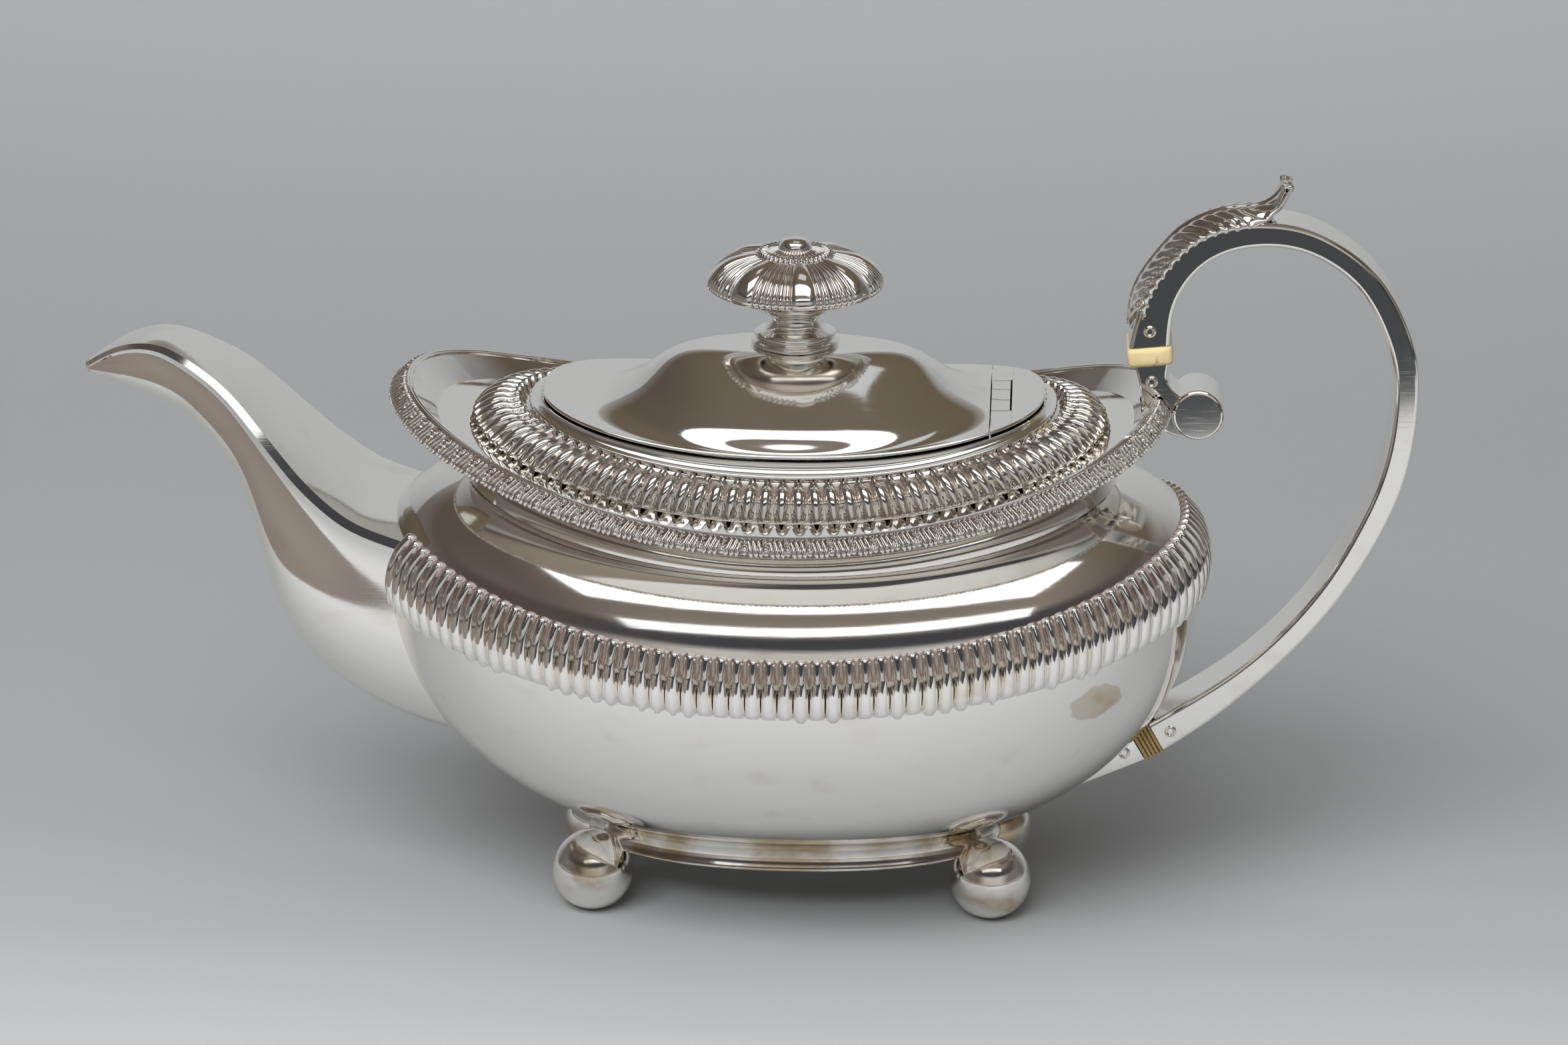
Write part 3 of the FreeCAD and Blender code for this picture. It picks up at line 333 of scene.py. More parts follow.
class Graph:
    """Node tree of one material or world, written as expressions."""

    def __init__(self, tree: bpy.types.NodeTree) -> None:
        """Start from an empty tree."""
        self.tree = tree
        tree.nodes.clear()

    def node(self, kind: str, settings: dict[str, Any], inputs: dict[Any, Any]) -> bpy.types.Node:
        """Add a node.

        Args:
            kind: type name of the node.
            settings: its properties, with the stops of a ramp under "stops".
            inputs: values or links of its sockets, by name or number.

        Returns:
            The node.
        """
        made = self.tree.nodes.new(kind)
        for key, setting in settings.items():
            if key == "stops":
                while len(made.color_ramp.elements) < len(setting):
                    made.color_ramp.elements.new(1.0)
                for element, (place, colour) in zip(made.color_ramp.elements, setting):
                    element.position = place
                    element.color = (*colour, 1.0)
            else:
                setattr(made, key, setting)
        for key, given in inputs.items():
            if isinstance(given, Value):
                self.tree.links.new(given.socket, made.inputs[key])
            else:
                made.inputs[key].default_value = given
        return made

    def value(self, kind: str, settings: dict[str, Any], inputs: dict[Any, Any], output: Any = 0) -> Value:
        """Output of a new node as a value."""
        return Value(self, self.node(kind, settings, inputs).outputs[output])

    def place(self) -> Value:
        """Object coordinates, in metres."""
        return self.value("ShaderNodeTexCoord", {}, {}, "Object")

    def noise(self, place: Value, scale: Sequence[float], detail: float) -> Value:
        """Noise over a place, 0 to 1.

        Args:
            place: coordinates.
            scale: waves per metre along X, Y and Z.
            detail: octaves of finer noise.

        Returns:
            The noise.
        """
        spread = self.value("ShaderNodeMapping", {}, {"Vector": place, "Scale": tuple(scale)})
        return self.value("ShaderNodeTexNoise", {}, {"Vector": spread, "Scale": 1.0, "Detail": detail})

    def mix(self, share: Any, first: Any, second: Any) -> Value:
        """Colour between two colours."""
        ends = [end if isinstance(end, Value) else (*end, 1.0) for end in (first, second)]
        return self.value("ShaderNodeMix", {"data_type": "RGBA"}, {0: share, 6: ends[0], 7: ends[1]}, 2)

    def axis(self, place: Value, name: str) -> Value:
        """One coordinate of a place."""
        return self.value("ShaderNodeSeparateXYZ", {}, {0: place}, name)

    def recess(self) -> Value:
        """How deep in a recess the surface is, 0 to 1."""
        return self.value("ShaderNodeAttribute", {"attribute_name": RECESS}, {}, "Fac")

    def surface(self, inputs: dict[Any, Any]) -> None:
        """Shade the whole surface with one shader."""
        shade = self.value("ShaderNodeBsdfPrincipled", {}, inputs)
        self.node("ShaderNodeOutputMaterial", {}, {"Surface": shade})

    def bump(self, height: Value, depth: float, under: Value | None = None) -> Value:
        """Normal of a height over the surface.

        Args:
            height: height, 0 to 1.
            depth: height of a full step, in metres.
            under: normal that this one adds to.

        Returns:
            The normal.
        """
        inputs = {"Height": height, "Strength": 1.0, "Distance": depth}
        if under is not None:
            inputs["Normal"] = under
        return self.value("ShaderNodeBump", {}, inputs)


class Finish:
    """Surface finish that makes its material once."""

    name: str
    slot: Slot
    made: dict[str, bpy.types.Material] = {}

    def material(self) -> bpy.types.Material:
        """The finish as a material.

        Returns:
            The material, made at the first call.
        """
        if self.name not in Finish.made:
            made = bpy.data.materials.new(self.name)
            made.use_nodes = True
            self.dress(Graph(made.node_tree))
            Finish.made[self.name] = made
        return Finish.made[self.name]

    def dress(self, graph: Graph) -> None:
        """Write the nodes of the finish."""
        raise NotImplementedError


@dataclass(frozen=True)
class SilverFinish(Finish):
    """Silver with fine polishing scratches, warm tarnish, one old stain, dull pinkish recesses, and tarnish
    mixed with painted shade low down round the feet.
    """

    name: str
    slot: Slot = Slot.POLISHED
    tint: Colour = (0.935, 0.912, 0.868)
    tarnish_tint: Colour = (0.60, 0.50, 0.37)
    recess_tint: Colour = (0.80, 0.665, 0.62)
    polish: float = 0.075
    tarnish: float = 0.35
    dents: float = 1.6e-5
    scratch_depth: float = 1.6e-6
    pit_depth: float = 4.0e-5
    # Strength of the tarnish tint mixed with painted shade laid on low down by the feet.
    feet_tarnish_and_shade: float = 0.85
    stain: float = 0.55
    stain_spot: tuple[float, float, float] = (0.0758, -0.0400, 0.0612)
    stain_stretch: tuple[float, float, float] = (0.8, 1.0, 1.5)
    stain_reach: float = 0.0068
    stain_edge: float = 0.0008

    def dress(self, graph: Graph) -> None:
        """Write the nodes of the finish.

        Args:
            graph: node tree of the material, still empty.
        """
        place = graph.place()
        broad = graph.noise(place, (34.0, 34.0, 34.0), 2.0)
        cloud = graph.noise(place, (90.0, 90.0, 120.0), 6.0)
        spots = graph.noise(place, (420.0, 420.0, 420.0), 3.0)
        streak = graph.noise(place, (130.0, 130.0, 3600.0), 3.0)
        wipe = graph.noise(place, (2600.0, 240.0, 700.0), 3.0)
        # Tarnish mixed with painted shade: below 34 mm the tarnish tint is laid on more heavily, darkening
        # the underside and feet where shade falls.
        low = (1.0 - graph.axis(place, "Z").ramp(0.012, 0.034)) * self.feet_tarnish_and_shade
        mask = cloud.ramp(0.50, 0.78) * self.tarnish + spots.ramp(0.60, 0.80) * (0.3 * self.tarnish)
        mask = mask + low * cloud.ramp(0.34, 0.66)
        spread = graph.value("ShaderNodeMapping", {}, {"Vector": place, "Scale": self.stain_stretch})
        spot = tuple(part * share for part, share in zip(self.stain_spot, self.stain_stretch))
        away = graph.value("ShaderNodeVectorMath", {"operation": "DISTANCE"}, {0: spread, 1: spot}, "Value")
        ragged = away + 0.009 * (cloud - 0.5)
        mask = mask + self.stain * (1.0 - ragged.ramp(self.stain_reach - self.stain_edge, self.stain_reach))
        dull = graph.recess().ramp(0.15, 0.75) * (0.62 + 0.5 * spots)
        scratch = streak.ramp(0.54, 0.76) * 0.6 + wipe.ramp(0.58, 0.78) * 0.5
        colour = graph.mix(mask.ramp(0.0, 1.0), self.tint, self.tarnish_tint)
        colour = graph.mix(dull.ramp(0.0, 1.0), colour, self.recess_tint)
        rough = self.polish + 0.055 * scratch + 0.09 * mask + 0.42 * dull
        normal = graph.bump(scratch, self.scratch_depth, graph.bump(broad, self.dents))
        normal = graph.bump(spots * dull, self.pit_depth, normal)
        graph.surface({"Base Color": colour, "Metallic": 1.0, "Roughness": rough, "Normal": normal})


@dataclass(frozen=True)
class BoneFinish(Finish):
    """Old bone with fine cracks along its grain."""

    name: str
    slot: Slot
    tint: Colour
    crack_tint: Colour
    gloss: float = 0.34
    crack_depth: float = 6.0e-5
    grain_depth: float = 2.0e-5

    def dress(self, graph: Graph) -> None:
        """Write the nodes of the finish.

        Args:
            graph: node tree of the material, still empty.
        """
        place = graph.place()
        grain = graph.noise(place, (900.0, 900.0, 90.0), 4.0)
        cloud = graph.noise(place, (210.0, 210.0, 210.0), 4.0)
        crack = (grain - 0.5).ramp(0.10, 0.20) * cloud.ramp(0.42, 0.62)
        mask = cloud.ramp(0.36, 0.74) * 0.30 + crack * 0.8 + graph.recess().ramp(0.1, 0.8)
        colour = graph.mix(mask.ramp(0.0, 1.0), self.tint, self.crack_tint)
        normal = graph.bump(1.0 - crack, self.crack_depth, graph.bump(grain, self.grain_depth))
        graph.surface({"Base Color": colour, "Roughness": self.gloss + 0.14 * cloud, "Normal": normal,
                       "Subsurface Weight": 0.12, "Subsurface Radius": (0.004, 0.0025, 0.0012)})


@dataclass(frozen=True)
class PaperFinish(Finish):
    """Pale seamless paper under and behind the pot, with painted shade: darker in a band round and behind the
    pot, paler in front and far up the curve.
    """

    name: str = "pale_paper"
    # near and far are the paper's pale tone; middle is painted shade for the band round and behind the pot.
    near: Colour = (0.60, 0.607, 0.615)
    middle: Colour = (0.36, 0.368, 0.378)
    far: Colour = (0.58, 0.592, 0.608)

    def dress(self, graph: Graph) -> None:
        """Write the nodes of the finish.

        Args:
            graph: node tree of the material, still empty.
        """
        place = graph.place()
        depth = graph.axis(place, "Y")
        fibre = graph.noise(place, (60.0, 60.0, 60.0), 5.0)
        # Painted shade and light falloff: the colour darkens from near to middle round the pot and brightens
        # again to far up the curve, standing in for the pot's shadow and the falloff between lamps.
        colour = graph.mix(depth.ramp(-0.22, 0.06), self.near, self.middle)
        colour = graph.mix(depth.ramp(0.25, 1.1), colour, self.far)
        graph.surface({"Base Color": colour, "Roughness": 0.78 + 0.1 * fibre, "Specular IOR Level": 0.25,
                       "Normal": graph.bump(fibre, 4.0e-5)})


@dataclass(frozen=True)
class FlagFinish(Finish):
    """Dark cloth of the card that the silver mirrors in front, browner past the spout."""

    name: str = "dark_flag"
    tint: Colour = (0.040, 0.043, 0.050)
    spout_tint: Colour = (0.25, 0.22, 0.195)

    def dress(self, graph: Graph) -> None:
        """Write the nodes of the finish.

        Args:
            graph: node tree of the material, still empty.
        """
        place = graph.place()
        weave = graph.noise(place, (400.0, 400.0, 400.0), 3.0)
        colour = graph.mix(graph.axis(place, "X").ramp(-0.20, 0.0), self.spout_tint, self.tint)
        colour = graph.mix(0.3 * weave, colour, (0.0, 0.0, 0.0))
        graph.surface({"Base Color": colour, "Roughness": 0.85 + 0.1 * weave})


POLISHED = SilverFinish("polished_silver_skin")
CHASED = SilverFinish("chased_silver_skin", Slot.CHASED, polish=0.06, tarnish=0.45, dents=0.8e-5)
GADROON = SilverFinish("gadroon_silver_skin", Slot.CHASED, recess_tint=(0.46, 0.365, 0.335), polish=0.06,
                       dents=0.8e-5)
SATIN = SilverFinish("inner_silver_skin", polish=0.20, tarnish=0.9, dents=3.0e-5)
PALE_BONE = BoneFinish("pale_bone_skin", Slot.PALE_BONE, (0.74, 0.61, 0.34), (0.42, 0.29, 0.12))
BROWN_BONE = BoneFinish("brown_bone_skin", Slot.BROWN_BONE, (0.52, 0.36, 0.15), (0.10, 0.055, 0.025), 0.28)


class Form:
    """Mesh in the making, in millimetres about the pot's middle."""

    def __init__(self) -> None:
        """Start with no faces."""
        self.bm = bmesh.new()
        self.recess = self.bm.verts.layers.float.new(RECESS)

    def sheet(self, columns: int, rows: int, place: Surface, recess: Depth | None = None) -> "Form":
        """Add a grid laid over a surface.

        Args:
            columns: faces across.
            rows: faces up.
            place: point of the surface at shares across and up.
            recess: how deep in a recess the surface is there, 0 to 1.

        Returns:
            This form.
        """
        made = bmesh.ops.create_grid(self.bm, x_segments=columns, y_segments=rows, size=1.0)
        for vert in made["verts"]:
            across, up = (vert.co.x + 1.0) / 2.0, (vert.co.y + 1.0) / 2.0
            vert.co = place(across, up)
            if recess is not None:
                vert[self.recess] = recess(across, up)
        return self

    def lathe(self, profile: "Profile", columns: int) -> "Form":
        """Add the surface of a profile of rings, all the way round."""
        return self.sheet(columns, profile.rows(), lambda u, v: profile.at(v).at(u)).weld()

    def spin(self, outline: Sequence[tuple[float, float]], steps: int, centre: Vector = Vector()) -> "Form":
        """Add a turned shape.

        Args:
            outline: radius and height of each point of the outline, from below.
            steps: faces round.
            centre: foot of the axis.

        Returns:
            This form.
        """
        verts = [self.bm.verts.new((r, 0.0, z)) for r, z in outline]
        edges = [self.bm.edges.new(pair) for pair in zip(verts, verts[1:])]
        bmesh.ops.spin(self.bm, geom=verts + edges, cent=(0, 0, 0), axis=(0, 0, 1),
                       angle=FULL_TURN, steps=steps, use_merge=True)
        return self.moved(centre).weld().outward()

    def prism(self, outline: Sequence[tuple[float, float]], width: float) -> "Form":
        """Add an outline in the XZ plane pulled out to both sides.

        Args:
            outline: corners of the outline.
            width: full width along Y.

        Returns:
            This form.
        """
        verts = [self.bm.verts.new((x, -width / 2.0, z)) for x, z in outline]
        face = self.bm.faces.new(verts)
        pulled = bmesh.ops.extrude_face_region(self.bm, geom=[face])["geom"]
        bmesh.ops.translate(self.bm, vec=(0.0, width, 0.0),
                            verts=[v for v in pulled if isinstance(v, bmesh.types.BMVert)])
        return self.outward()

    def rod(self, radius: float, length: float, centre: Vector, segments: int = 40) -> "Form":
        """Add a round rod along Y with eased ends.

        Args:
            radius: radius of the rod.
            length: its full length.
            centre: its middle.
            segments: faces round.

        Returns:
            This form.
        """
        verts = bmesh.ops.create_cone(
            self.bm, cap_ends=True, segments=segments, radius1=radius, radius2=radius, depth=length,
            matrix=Matrix.Rotation(QUARTER_TURN, 4, "X"))["verts"]
        bmesh.ops.translate(self.bm, verts=verts, vec=centre)
        edges = {edge for vert in verts for edge in vert.link_edges}
        ends = [edge for edge in edges if abs(edge.verts[0].co.y - edge.verts[1].co.y) < 1e-6]
        return self.ease_edges(ends, 0.12 * radius)

    def ease_edges(self, edges: Sequence[bmesh.types.BMEdge], size: float, segments: int = 3) -> "Form":
        """Round some edges.

        Args:
            edges: edges to round.
            size: width of the rounding.
            segments: faces across it.

        Returns:
            This form.
        """
        bmesh.ops.bevel(self.bm, geom=list(edges), offset=size, offset_type="OFFSET", segments=segments,
                        profile=0.5, affect="EDGES", clamp_overlap=True, material=-1)
        return self

    def sharp_edges(self, degrees: float) -> list[bmesh.types.BMEdge]:
        """Edges that turn by more than an angle."""
        return [e for e in self.bm.edges if e.is_manifold and e.calc_face_angle() > math.radians(degrees)]

    def join(self, other: "Form") -> "Form":
        """Take over the faces of another form.

        Args:
            other: the other form, which is used up.

        Returns:
            This form.
        """
        mesh = bpy.data.meshes.new("joined")
        other.bm.to_mesh(mesh)
        other.bm.free()
        self.bm.from_mesh(mesh)
        bpy.data.meshes.remove(mesh)
        return self

    def moved(self, vec: Sequence[float]) -> "Form":
        """Move the whole form."""
        bmesh.ops.translate(self.bm, verts=self.bm.verts, vec=vec)
        return self

    def scaled(self, vec: Sequence[float]) -> "Form":
        """Scale the whole form about the origin."""
        bmesh.ops.scale(self.bm, verts=self.bm.verts, vec=vec)
        return self

    def turned(self, angle: float, axis: str) -> "Form":
        """Turn the whole form about an axis through the origin."""
        bmesh.ops.rotate(self.bm, verts=self.bm.verts, cent=(0, 0, 0), matrix=Matrix.Rotation(angle, 3, axis))
        return self

    def weld(self) -> "Form":
        """Close seams and poles."""
        bmesh.ops.remove_doubles(self.bm, verts=self.bm.verts, dist=1e-3)
        return self

    def outward(self) -> "Form":
        """Turn the faces of a closed form outwards."""
        bmesh.ops.recalc_face_normals(self.bm, faces=self.bm.faces)
        return self

    def cut(self, point: Vector, normal: Vector, close: bool) -> "Form":
        """Take away what lies ahead of a plane.

        Args:
            point: point of the plane.
            normal: direction of what is taken away.
            close: whether the cut is filled.

        Returns:
            This form.
        """
        geom = list(self.bm.verts) + list(self.bm.edges) + list(self.bm.faces)
        made = bmesh.ops.bisect_plane(self.bm, geom=geom, dist=1e-5, plane_co=point, plane_no=normal,
                                      clear_outer=True)
        if close:
            edges = [e for e in made["geom_cut"] if isinstance(e, bmesh.types.BMEdge)]
            bmesh.ops.triangle_fill(self.bm, use_beauty=True, edges=edges, normal=normal)
        return self

    def made(self, name: str, finish: Finish) -> bpy.types.Object:
        """Make the form an object of the scene.

        Args:
            name: name of the object.
            finish: its finish.

        Returns:
            The object.
        """
        mesh = bpy.data.meshes.new(name)
        self.bm.to_mesh(mesh)
        self.bm.free()
        mesh.shade_smooth()
        mesh.materials.append(finish.material())
        made = bpy.data.objects.new(name, mesh)
        bpy.context.scene.collection.objects.link(made)
        return made

    def piece(self, node: str, finish: Finish = POLISHED, body: Body = Body.POT, wall: float = 0.0,
              sharp: float = 40.0, even: bool = True, name: str = "") -> None:
        """Make the form a piece of the pot.

        Args:
            node: node of the frame that it stands for, or nothing for a piece that the frame lacks.
            finish: its finish.
            body: body that it rides on.
            wall: thickness of its sheet, in millimetres, or 0 for a closed form.
            sharp: angle past which an edge is crisp, in degrees.
            even: whether the wall keeps its thickness round tight bends.
            name: name of the piece, where it isn't called after its node.
        """
        name = name or node + "_skin"
        made = self.scaled((MM, MM, MM)).moved((POT_X, 0.0, 0.0)).made(name, finish)
        made.data.set_sharp_from_angle(angle=math.radians(sharp))
        if wall > 0.0:
            shell = made.modifiers.new("wall", "SOLIDIFY")
            shell.thickness = wall * MM
            shell.offset = -1.0
            shell.use_even_offset = even
        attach(made, body.value)
        if node:
            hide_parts(node)
        LOG.info("%s: %d faces on %s", name, len(made.data.polygons), body.value)


class Profile:
    """Run of rings, smooth along each span and creased between spans."""

    def __init__(self, *spans: tuple[Sequence[Ring], int]) -> None:
        """Fit the spans.

        Args:
            spans: the rings of each span and its count of rows; spans share their end rings.
        """
        self.curves = [Spline([ring.row() for ring in rings]) for rings, _ in spans]
        self.counts = [count for _, count in spans]

    def rows(self) -> int:
        """Rows of the whole run."""
        return sum(self.counts)

    def at(self, share: float) -> Ring:
        """Ring at a share of the rows.

        Args:
            share: 0 at the first row, 1 at the last.

        Returns:
            The ring.
        """
        row = clamp(share) * self.rows()
        for curve, count in zip(self.curves, self.counts):
            if row <= count + 1e-6:
                return Ring(*curve.at(row / count))
            row -= count
        return Ring(*self.curves[-1].at(1.0))


@dataclass(frozen=True)
class PotShape:
    """Outer skin of the pot from foot to rim, shared by all that sits on it."""

    foot: Ring = Ring(48.1, 28.1, 21.3, 21.3)
    belly: Ring = Ring(91.0, 58.8, 67.0, 80.0)
    neck: Ring = Ring(71.5, 45.0, 89.5, 99.0)
    rim: Ring = Ring(87.0, 55.2, 97.6, 116.0)
    bowl_start: float = math.radians(25.0)
    shoulder_sweep: float = math.radians(68.0)
    rim_sweep: float = math.radians(45.0)

    def bowl(self, share: float) -> Ring:
        """Ring of the bowl, 0 at the foot, 1 at the belly.

        Args:
            share: share of the bowl.

        Returns:
            The ring.
        """
        start = self.bowl_start
        angle = start + (QUARTER_TURN - start) * share
        out = (math.sin(angle) - math.sin(start)) / (1.0 - math.sin(start))
        return self.foot.blend(self.belly, out, (math.cos(start) - math.cos(angle)) / math.cos(start))

    def shoulder(self, share: float) -> Ring:
        """Ring of the shoulder, 0 at the belly, 1 at the neck."""
        return self.sweep(self.belly, self.neck, self.shoulder_sweep, share)

    def flare(self, share: float) -> Ring:
        """Ring of the flare, 0 at the neck, 1 at the rim."""
        return self.sweep(self.neck, self.rim, self.rim_sweep, share)

    @staticmethod
    def sweep(first: Ring, last: Ring, full: float, share: float) -> Ring:
        """Ring of an arc that starts upright.

        Args:
            first: ring at its start.
            last: ring at its end.
            full: angle of the whole arc.
            share: share of the arc.

        Returns:
            The ring.
        """
        out = (1.0 - math.cos(full * share)) / (1.0 - math.cos(full))
        return first.blend(last, out, math.sin(full * share) / math.sin(full))

    def skin(self, share: float) -> Ring:
        """Ring of the whole skin: 0 to 1 bowl, 1 to 2 shoulder, 2 to 3 flare.

        Args:
            share: share of the skin, 0 to 3.

        Returns:
            The ring.
        """
        if share < 1.0:
            return self.bowl(share)
        return self.shoulder(share - 1.0) if share < 2.0 else self.flare(min(share - 2.0, 1.0))

    def share_at(self, height: float, at_end: bool) -> float:
        """Share of the skin at a height, measured at the ends or at the sides of the pot."""
        return last_below(0.0, 3.0, 40, lambda share: self.skin(share).height(float(at_end)) < height)

    def holds(self, point: Vector) -> bool:
        """Whether a point, in millimetres, lies inside the skin.

        Args:
            point: the point.

        Returns:
            True inside.
        """
        def below(share: float) -> bool:
            """Whether the skin at a share lies under the point."""
            ring = self.skin(share)
            return ring.height(point.x / ring.length) < point.z

        ring = self.skin(last_below(0.0, 3.0, 26, below))
        return abs(point.x / ring.length) ** ring.square + abs(point.y / ring.width) ** ring.square < 1.0


POT = PotShape()


class Relief:
    """Ornament laid along a strip of surface: lobes that stand up from recesses."""

    def __init__(self, surface: Surface, count: int, height: float) -> None:
        """Lay out the strip.

        Args:
            surface: point of the bare strip at shares along and across.
            count: units of the ornament along the strip.
            height: height of a full lobe, in millimetres.
        """
        self.surface = surface
        self.count = count
        self.height = height

    def level(self, unit: float, across: float, index: int) -> tuple[float, float]:
        """Height and recess of the ornament.

        Args:
            unit: place along one unit, -1 to 1.
            across: place across the strip, 0 to 1.
            index: number of the unit.

        Returns:
            Share of the full height, and recess from 0 to 1.
        """
        raise NotImplementedError

    def sample(self, along: float, across: float) -> tuple[float, float]:
        """Height and recess at shares along and across the strip."""
        step = min(int(along * self.count), self.count - 1)
        return self.level(2.0 * (along * self.count - step) - 1.0, across, step)

    def point(self, along: float, across: float) -> Vector:
        """Point of the ornament.

        Args:
            along: share along the strip.
            across: share across the strip.

        Returns:
            The point, in millimetres.
        """
        here = self.surface(along, across)
        slip = 1e-3
        side = self.surface(along + slip, across) - self.surface(along - slip, across)
        rise = self.surface(along, min(across + slip, 1.0)) - self.surface(along, max(across - slip, 0.0))
        return here + side.cross(rise).normalized() * (self.height * self.sample(along, across)[0])

    def form(self, samples: int, rows: int) -> Form:
        """Mesh of the strip."""
        return Form().sheet(self.count * samples, rows, self.point, lambda u, v: self.sample(u, v)[1])


class BellyLobes(Relief):
    """Upright lobes round the belly, wide at the foot and round at the head."""

    def level(self, unit: float, across: float, index: int) -> tuple[float, float]:
        """Height and recess of one lobe.

        Args:
            unit: place along one unit, -1 to 1.
            across: place across the strip, 0 to 1.
            index: number of the unit.

        Returns:
            Share of the full height, and recess from 0 to 1.
        """
        sunk = 0.34 * (1.0 - ease(0.0, 0.05, across)) + 0.26 * ease(0.96, 1.0, across)
        across = clamp(across + wobble(index, 0.02))
        wide = 0.97 - 0.20 * ease(0.05, 0.85, across)
        wide *= 1.0 + wobble(index + 77.0, 0.05)
        wide *= dome(1.0 - across / 0.07, 3.0) if across < 0.07 else 1.0
        wide *= dome((across - 0.87) / 0.11, 2.3) if across > 0.87 else 1.0
        tall = (0.72 + 0.28 * ease(0.0, 0.16, across)) * (1.0 - 0.40 * ease(0.55, 1.0, across))
        offset = abs(unit) / max(wide, 0.02)
        if offset < 1.0:
            recess = 0.7 * ease(0.9, 1.0, offset) * ease(0.4, 0.6, across)
            return 0.08 + tall * dome(offset, 2.1) - sunk, recess
        return 0.08 - sunk, ease(0.42, 0.62, across)


class CollarFlutes(Relief):
    """Almond flutes on the slope under the lid, each with a small bulb at its head."""

    def level(self, unit: float, across: float, index: int) -> tuple[float, float]:
        """Height and recess of one flute.

        Args:
            unit: place along one unit, -1 to 1.
            across: place across the strip, 0 to 1.
            index: number of the unit.

        Returns:
            Share of the full height, and recess from 0 to 1.
        """
        sunk = 0.3 * (1.0 - ease(0.0, 0.04, across)) + 0.25 * ease(0.97, 1.0, across)
        across = clamp(across + wobble(index, 0.015))
        wide = 0.62 + 0.26 * ease(0.0, 0.42, across) - 0.10 * ease(0.5, 0.72, across)
        wide += 0.14 * ease(0.86, 0.92, across) - 0.26 * ease(0.70, 0.84, across)
        wide *= dome(1.0 - across / 0.05) if across < 0.05 else 1.0
        wide *= dome((across - 0.94) / 0.05) if across > 0.94 else 1.0
        tall = 0.80 + 0.20 * ease(0.0, 0.4, across) - 0.38 * ease(0.60, 0.84, across)
        tall += 0.16 * ease(0.86, 0.92, across)
        offset = abs(unit) / max(wide * (1.0 + wobble(index + 31.0, 0.05)), 0.02)
        if offset < 1.0:
            return 0.03 + tall * dome(offset) - sunk, 0.6 * ease(0.9, 1.0, offset) * ease(0.3, 0.55, across)
        return 0.03 - sunk, ease(0.25, 0.6, across)


class RimGadroons(Relief):
    """Border of slanted gadroons in threes with a beaded husk between them."""

    husk_share: float = 0.27
    gadroons: float = 3.0
    slant: float = 0.75
    beads: tuple[tuple[float, float], ...] = ((0.20, 0.15), (0.46, 0.13), (0.69, 0.11), (0.87, 0.08))

    def level(self, unit: float, across: float, index: int) -> tuple[float, float]:
        """Height and recess of one unit.

        Args:
            unit: place along one unit, -1 to 1.
            across: place across the strip, 0 to 1.
            index: number of the unit.

        Returns:
            Share of the full height, and recess from 0 to 1.
        """
        place = (unit + 1.0) / 2.0
        lean = -1.0 if int(4.0 * (index + 0.5) / self.count) % 2 else 1.0
        ends = dome(2.0 * across - 1.0, 4.0)
        sunk = 0.3 * (1.0 - ease(0.0, 0.06, across)) + 0.15 * ease(0.92, 1.0, across)
        dull = ease(0.42, 0.62, across)
        husk = place - 0.10 * lean * (across - 0.5)
        if husk < self.husk_share:
            side = abs(husk / self.husk_share - 0.5) * 2.0
            bead = max(dome(min(math.hypot((across - spot) / size, side), 1.0)) for spot, size in self.beads)
            return 0.08 + 0.95 * bead * ends - sunk, 0.9 * (1.0 - ease(0.1, 0.5, bead)) * (0.6 + 0.4 * dull)
        row = (husk - self.husk_share) / (1.0 - self.husk_share) * self.gadroons
        row -= self.slant * lean * (across - 0.3)
        offset = abs(row % 1.0 - 0.5) * 2.0 / (0.95 - 0.32 * ease(0.40, 0.98, across))
        if offset < 1.0:
            return 0.08 + ends * dome(offset) - sunk, 0.9 * ease(0.62, 0.95, offset)
        return 0.08 - sunk, 1.0


def strip_turns(ring: Ring, gap: float, at_handle: bool) -> Callable[[float], float]:
    """Spacing along a ring that leaves a gap at one end of the pot.

    Args:
        ring: ring that the strip follows.
        gap: half width of the gap, in millimetres.
        at_handle: whether the gap is at the handle end or at the spout end.

    Returns:
        A function from a share along the strip to a turn.
    """
    turn = ring.even()
    shift = 0.0
    while abs(ring.at(turn(shift)).y) < gap:
        shift += 0.0005
    first, last = (shift, 1.0 - shift) if at_handle else (shift - 0.5, 0.5 - shift)
    return lambda share: turn(first + (last - first) * share)


@dataclass
class Foot:
    """Oval foot ring on four balls."""

    ball_radius: float = 9.0
    ball_x: float = 44.0
    ball_y: float = 14.5
    flat: float = 0.25
    wall: float = 1.6

    def build(self) -> None:
        """Make the ring and the balls."""
        ring = Ring(45.5, 25.5, 14.0, 14.0)
        rows = ((0.1, 0.0), (0.5, 0.35), (0.3, 0.95), (-0.6, 3.0), (0.1, 5.1), (2.7, 7.4))
        rings = [ring.moved(out, up) for out, up in rows]
        Form().lathe(Profile((rings[:3], 6), (rings[2:], 28)), 320).piece("foot_ring", wall=self.wall)
        for end, side_x in (("spout", -1), ("handle", 1)):
            for side, side_y in (("right", -1), ("left", 1)):
                self.ball(side_x, side_y).piece("ball_foot_%s_%s" % (end, side))

    def ball(self, side_x: int, side_y: int) -> Form:
        """Make one ball, worn flat below.

        Args:
            side_x: -1 at the spout end, 1 at the handle end.
            side_y: -1 at the near side, 1 at the far side.

        Returns:
            The ball.
        """
        radius, steps = self.ball_radius, 32
        start = math.asin(1.0 - self.flat / radius)
        outline = [(0.0, 0.0)]
        for k in range(steps + 1):
            angle = -start + (start + QUARTER_TURN) * k / steps
            outline.append((radius * math.cos(angle), radius + radius * math.sin(angle) - self.flat))
        return Form().spin(outline, 64, Vector((side_x * self.ball_x, side_y * self.ball_y, 0.0)))


